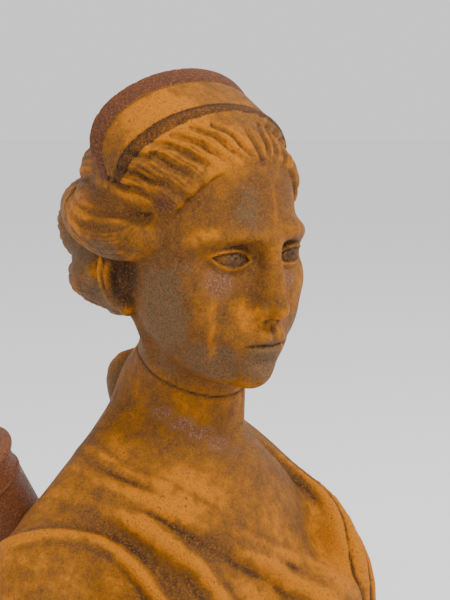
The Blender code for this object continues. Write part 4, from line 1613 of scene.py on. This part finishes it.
@dataclass(frozen=True)
class RustedIronWithPaintedLight:
    """Sand cast iron that has rusted through many winters and been oiled, with painted shade and painted
    highlights laid into its colour.
    """

    name: str
    brown: Colour = (0.140, 0.054, 0.010)
    ochre: Colour = (0.245, 0.085, 0.004)
    orange: Colour = (0.500, 0.155, 0.001)
    soot: Colour = (0.132, 0.079, 0.038)
    plum: Colour = (0.100, 0.033, 0.020)
    # Pink of the painted glints (painted highlights).
    rose: Colour = (0.56, 0.29, 0.18)
    # Dark brown of the painted shade, also used for the pits in the grain.
    dark: Colour = (0.026, 0.011, 0.004)
    roughness: float = 0.55
    gloss: float = 0.16
    browning: float = 0.0
    bump: float = 1.0
    bump_depth: float = 0.0016
    patches: float = 18
    mottles: float = 95
    grains: float = 560
    streaks: float = 110
    scales: float = 140
    sand_grains: float = 520
    ochre_over: float = 0.47
    orange_over: float = 0.56
    full_over: float = 0.65
    stain_over: tuple[float, float] = (2.25, 2.75)
    painted_glint_over: tuple[float, float] = (0.51, 0.62)
    drip_over: tuple[float, float] = (0.12, 0.60)
    painted_shade_over: tuple[float, float] = (0.60, 1.45)
    pit_over: tuple[float, float] = (0.51, 0.64)
    fleck_under: tuple[float, float] = (0.47, 0.36)

    def colour(self, board: Board) -> Socket:
        """Lays the rusts over each other, with painted shade in the hollows and painted light, highlights and
        glints on top.

        Args:
            board: The material's nodes.

        Returns:
            The colour of the surface.
        """
        patches = board.noise(self.patches, 4, 0.55)
        mottle = board.noise(self.mottles, 6, 0.75)
        grain = board.noise(self.grains, 3, 0.85)
        ragged = board.sum((mottle, 0.6), (grain, 0.4))
        spread = board.sum((patches, 0.4), (ragged, 0.75), rest=-0.075)
        # The rust's tone, lifted towards orange by brighter rust and painted light on lit patches and ridges,
        # and pushed towards brown by painted shade in hollows and by soot.
        tone_and_painted_light = board.sum((spread, 1.0), (board.noted("orange_and_painted_light"), 0.12), (board.noted("ridge"), 0.14),
                           (board.noted("shade"), -0.09), (board.noted("soot"), -0.06))
        steps = (self.ochre_over, self.orange_over, self.full_over)
        low, middle, high = (over + self.browning for over in steps)
        shown = board.blend(board.step(tone_and_painted_light, low, middle), self.brown, self.ochre)
        shown = board.blend(board.step(tone_and_painted_light, middle, high), shown, self.orange)
        worn_kinds = (("soot", self.soot, 0.85), ("plum", self.plum, 0.9), ("rose", self.plum, 0.7))
        for kind, colour, full in worn_kinds:
            worn = board.sum((board.noted(kind), 1.0), (ragged, 4.0))
            shown = board.blend(board.step(worn, *self.stain_over, full), shown, colour)
        # Painted highlights: pink glints over the rose patches.
        where = board.step(board.noted("rose"), 0.1, 0.6)
        painted_glints = board.math("MULTIPLY", board.step(grain, *self.painted_glint_over, 0.9), where)
        shown = board.blend(painted_glints, shown, self.rose)
        streaky = board.noise(self.streaks, 4, 0.6, stretch=(1, 1, 0.22))
        broken = board.sum((streaky, 2.2), (ragged, 2.2), rest=-1.75)
        drip = board.math("MULTIPLY", board.noted("drip"), broken)
        shown = board.blend(board.step(drip, *self.drip_over, 0.8), shown, self.orange)
        # Painted shade: hollows, the dark patches and the groove at the diadem's foot turn dark brown.
        deep = board.sum((board.noted("hollow"), 1.0), (board.noted("dark"), 0.9), (ragged, 0.9))
        shown = board.blend(board.step(deep, *self.painted_shade_over, 0.92), shown, self.dark)
        shown = board.blend(board.step(grain, *self.pit_over, 0.55), shown, self.dark)
        return board.blend(board.step(grain, *self.fleck_under, 0.4), shown, self.orange)

    def made(self) -> bpy.types.Material:
        """Makes the material.

        Returns:
            The material, ready to put on a piece.
        """
        board = Board(self.name)
        board.wire(self.colour(board), board.shader.inputs["Base Color"])
        board.shader.inputs["Specular IOR Level"].default_value = self.gloss
        sand = board.noise(self.sand_grains, 4, 0.75)
        scale = board.noise(self.scales, 5, 0.6)
        board.wire(board.sum((scale, 0.4), rest=self.roughness - 0.2), board.shader.inputs["Roughness"])
        bump = board.tree.nodes.new("ShaderNodeBump")
        bump.inputs["Strength"].default_value = self.bump
        bump.inputs["Distance"].default_value = self.bump_depth
        board.wire(board.sum((sand, 1.0), (scale, 0.9)), bump.inputs["Height"])
        board.wire(bump.outputs["Normal"], board.shader.inputs["Normal"])
        return board.material


@dataclass
class Studio:
    """A pale floor, soft lights and the camera at the photograph's angle."""

    yaw: float = 46
    elevation: float = 8
    distance: float = 1.3
    anchor: Point = (0, -0.010, 0.410)
    anchor_pixel: tuple[float, float] = (200, 236)
    pixel: float = 0.00085
    picture: tuple[int, int] = (450, 600)
    film: float = 36
    floor_radius: float = 14.0
    floor_white: float = 0.93
    lamp_size: float = 0.5
    key_at: Point = (0.3, -1.7, 2.3)
    key_power: float = 66
    side_at: Point = (-2.4, -0.2, 1.5)
    side_power: float = 14

    def camera(self) -> None:
        """Sets the camera so that the anchor is seen at its pixel."""
        yaw, rise = math.radians(self.yaw), math.radians(self.elevation)
        back = Vector((-math.sin(yaw) * math.cos(rise), -math.cos(yaw) * math.cos(rise), math.sin(rise)))
        right = Vector((math.cos(yaw), -math.sin(yaw), 0))
        up = back.cross(right)
        aim = Vector(self.anchor) + right * (self.picture[0] / 2 - self.anchor_pixel[0]) * self.pixel
        aim += up * (self.anchor_pixel[1] - self.picture[1] / 2) * self.pixel
        camera = bpy.data.objects.new("camera", bpy.data.cameras.new("camera"))
        turn = Matrix((right, up, back)).transposed().to_4x4()
        camera.matrix_world = Matrix.Translation(aim + back * self.distance) @ turn
        camera.data.sensor_width = self.film
        camera.data.lens = self.film * self.distance / (self.picture[1] * self.pixel)
        camera.data.clip_end = 60
        bpy.context.scene.collection.objects.link(camera)
        bpy.context.scene.camera = camera

    def floor(self) -> None:
        """Lays a round pale floor under the bust."""
        disc = bmesh.new()
        bmesh.ops.create_circle(disc, cap_ends=True, segments=96, radius=self.floor_radius)
        mesh = into_mesh(disc, "floor")
        plain = bpy.data.materials.new("pale floor")
        plain.use_nodes = True
        shader = plain.node_tree.nodes["Principled BSDF"]
        shader.inputs["Base Color"].default_value = (*[self.floor_white] * 3, 1)
        shader.inputs["Roughness"].default_value = 0.9
        mesh.materials.append(plain)
        linked("floor", mesh)

    def lamp(self, name: str, place: Point, power: float) -> None:
        """Hangs a square soft light that shines at the head.

        Args:
            name: The lamp's name.
            place: Where it hangs.
            power: Its power, in watts.
        """
        light = bpy.data.lights.new(name, "AREA")
        light.size = self.lamp_size
        light.energy = power
        lamp = bpy.data.objects.new(name, light)
        way = Vector(place) - Vector(self.anchor)
        lamp.matrix_world = Matrix.Translation(place) @ way.to_track_quat("Z", "Y").to_matrix().to_4x4()
        bpy.context.scene.collection.objects.link(lamp)

    def lights(self) -> None:
        """Sets up the lights and the pale surroundings."""
        world = bpy.data.worlds.new("surroundings")
        world.use_nodes = True
        world.node_tree.nodes["Background"].inputs["Color"].default_value = (1, 1, 1, 1)
        world.node_tree.nodes["Background"].inputs["Strength"].default_value = 1.0
        bpy.context.scene.world = world
        self.lamp("key", self.key_at, self.key_power)
        self.lamp("side", self.side_at, self.side_power)


def dressed(piece: bpy.types.Object, casting: Casting, finish: RustedIronWithPaintedLight) -> None:
    """Puts a finish on a piece, which takes the place of its casting's node.

    Args:
        piece: The detailed piece.
        casting: The casting that it stands for.
        finish: What its surface is like.
    """
    piece.data.materials.clear()
    piece.data.materials.append(finish.made())
    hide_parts(casting.value)
    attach(piece, "root")
    triangles = sum(len(face.vertices) - 2 for face in piece.data.polygons)
    LOG.info("%s stands for %s: %d triangles", piece.name, casting.value, triangles)


def main() -> None:
    """Builds the castings, dresses them and sets up the studio."""
    logging.basicConfig(level=logging.INFO, format="%(name)s: %(message)s")
    studio = Studio()
    studio.camera()
    quiver = Quiver()
    figure = Figure()
    figure.quiver_room = quiver.room(figure.share)
    head, body = figure.castings()
    tube = quiver.casting(figure.share)
    dressed(head, Casting.HEAD, RustedIronWithPaintedLight("rusted head"))
    dressed(body, Casting.BODY, RustedIronWithPaintedLight("rusted body"))
    redder = RustedIronWithPaintedLight("rusted quiver", brown=(0.170, 0.048, 0.014), browning=0.13, roughness=0.42,
                        gloss=0.35)
    dressed(tube, Casting.QUIVER, redder)
    studio.floor()
    studio.lights()


if __name__ == "__main__":
    main()
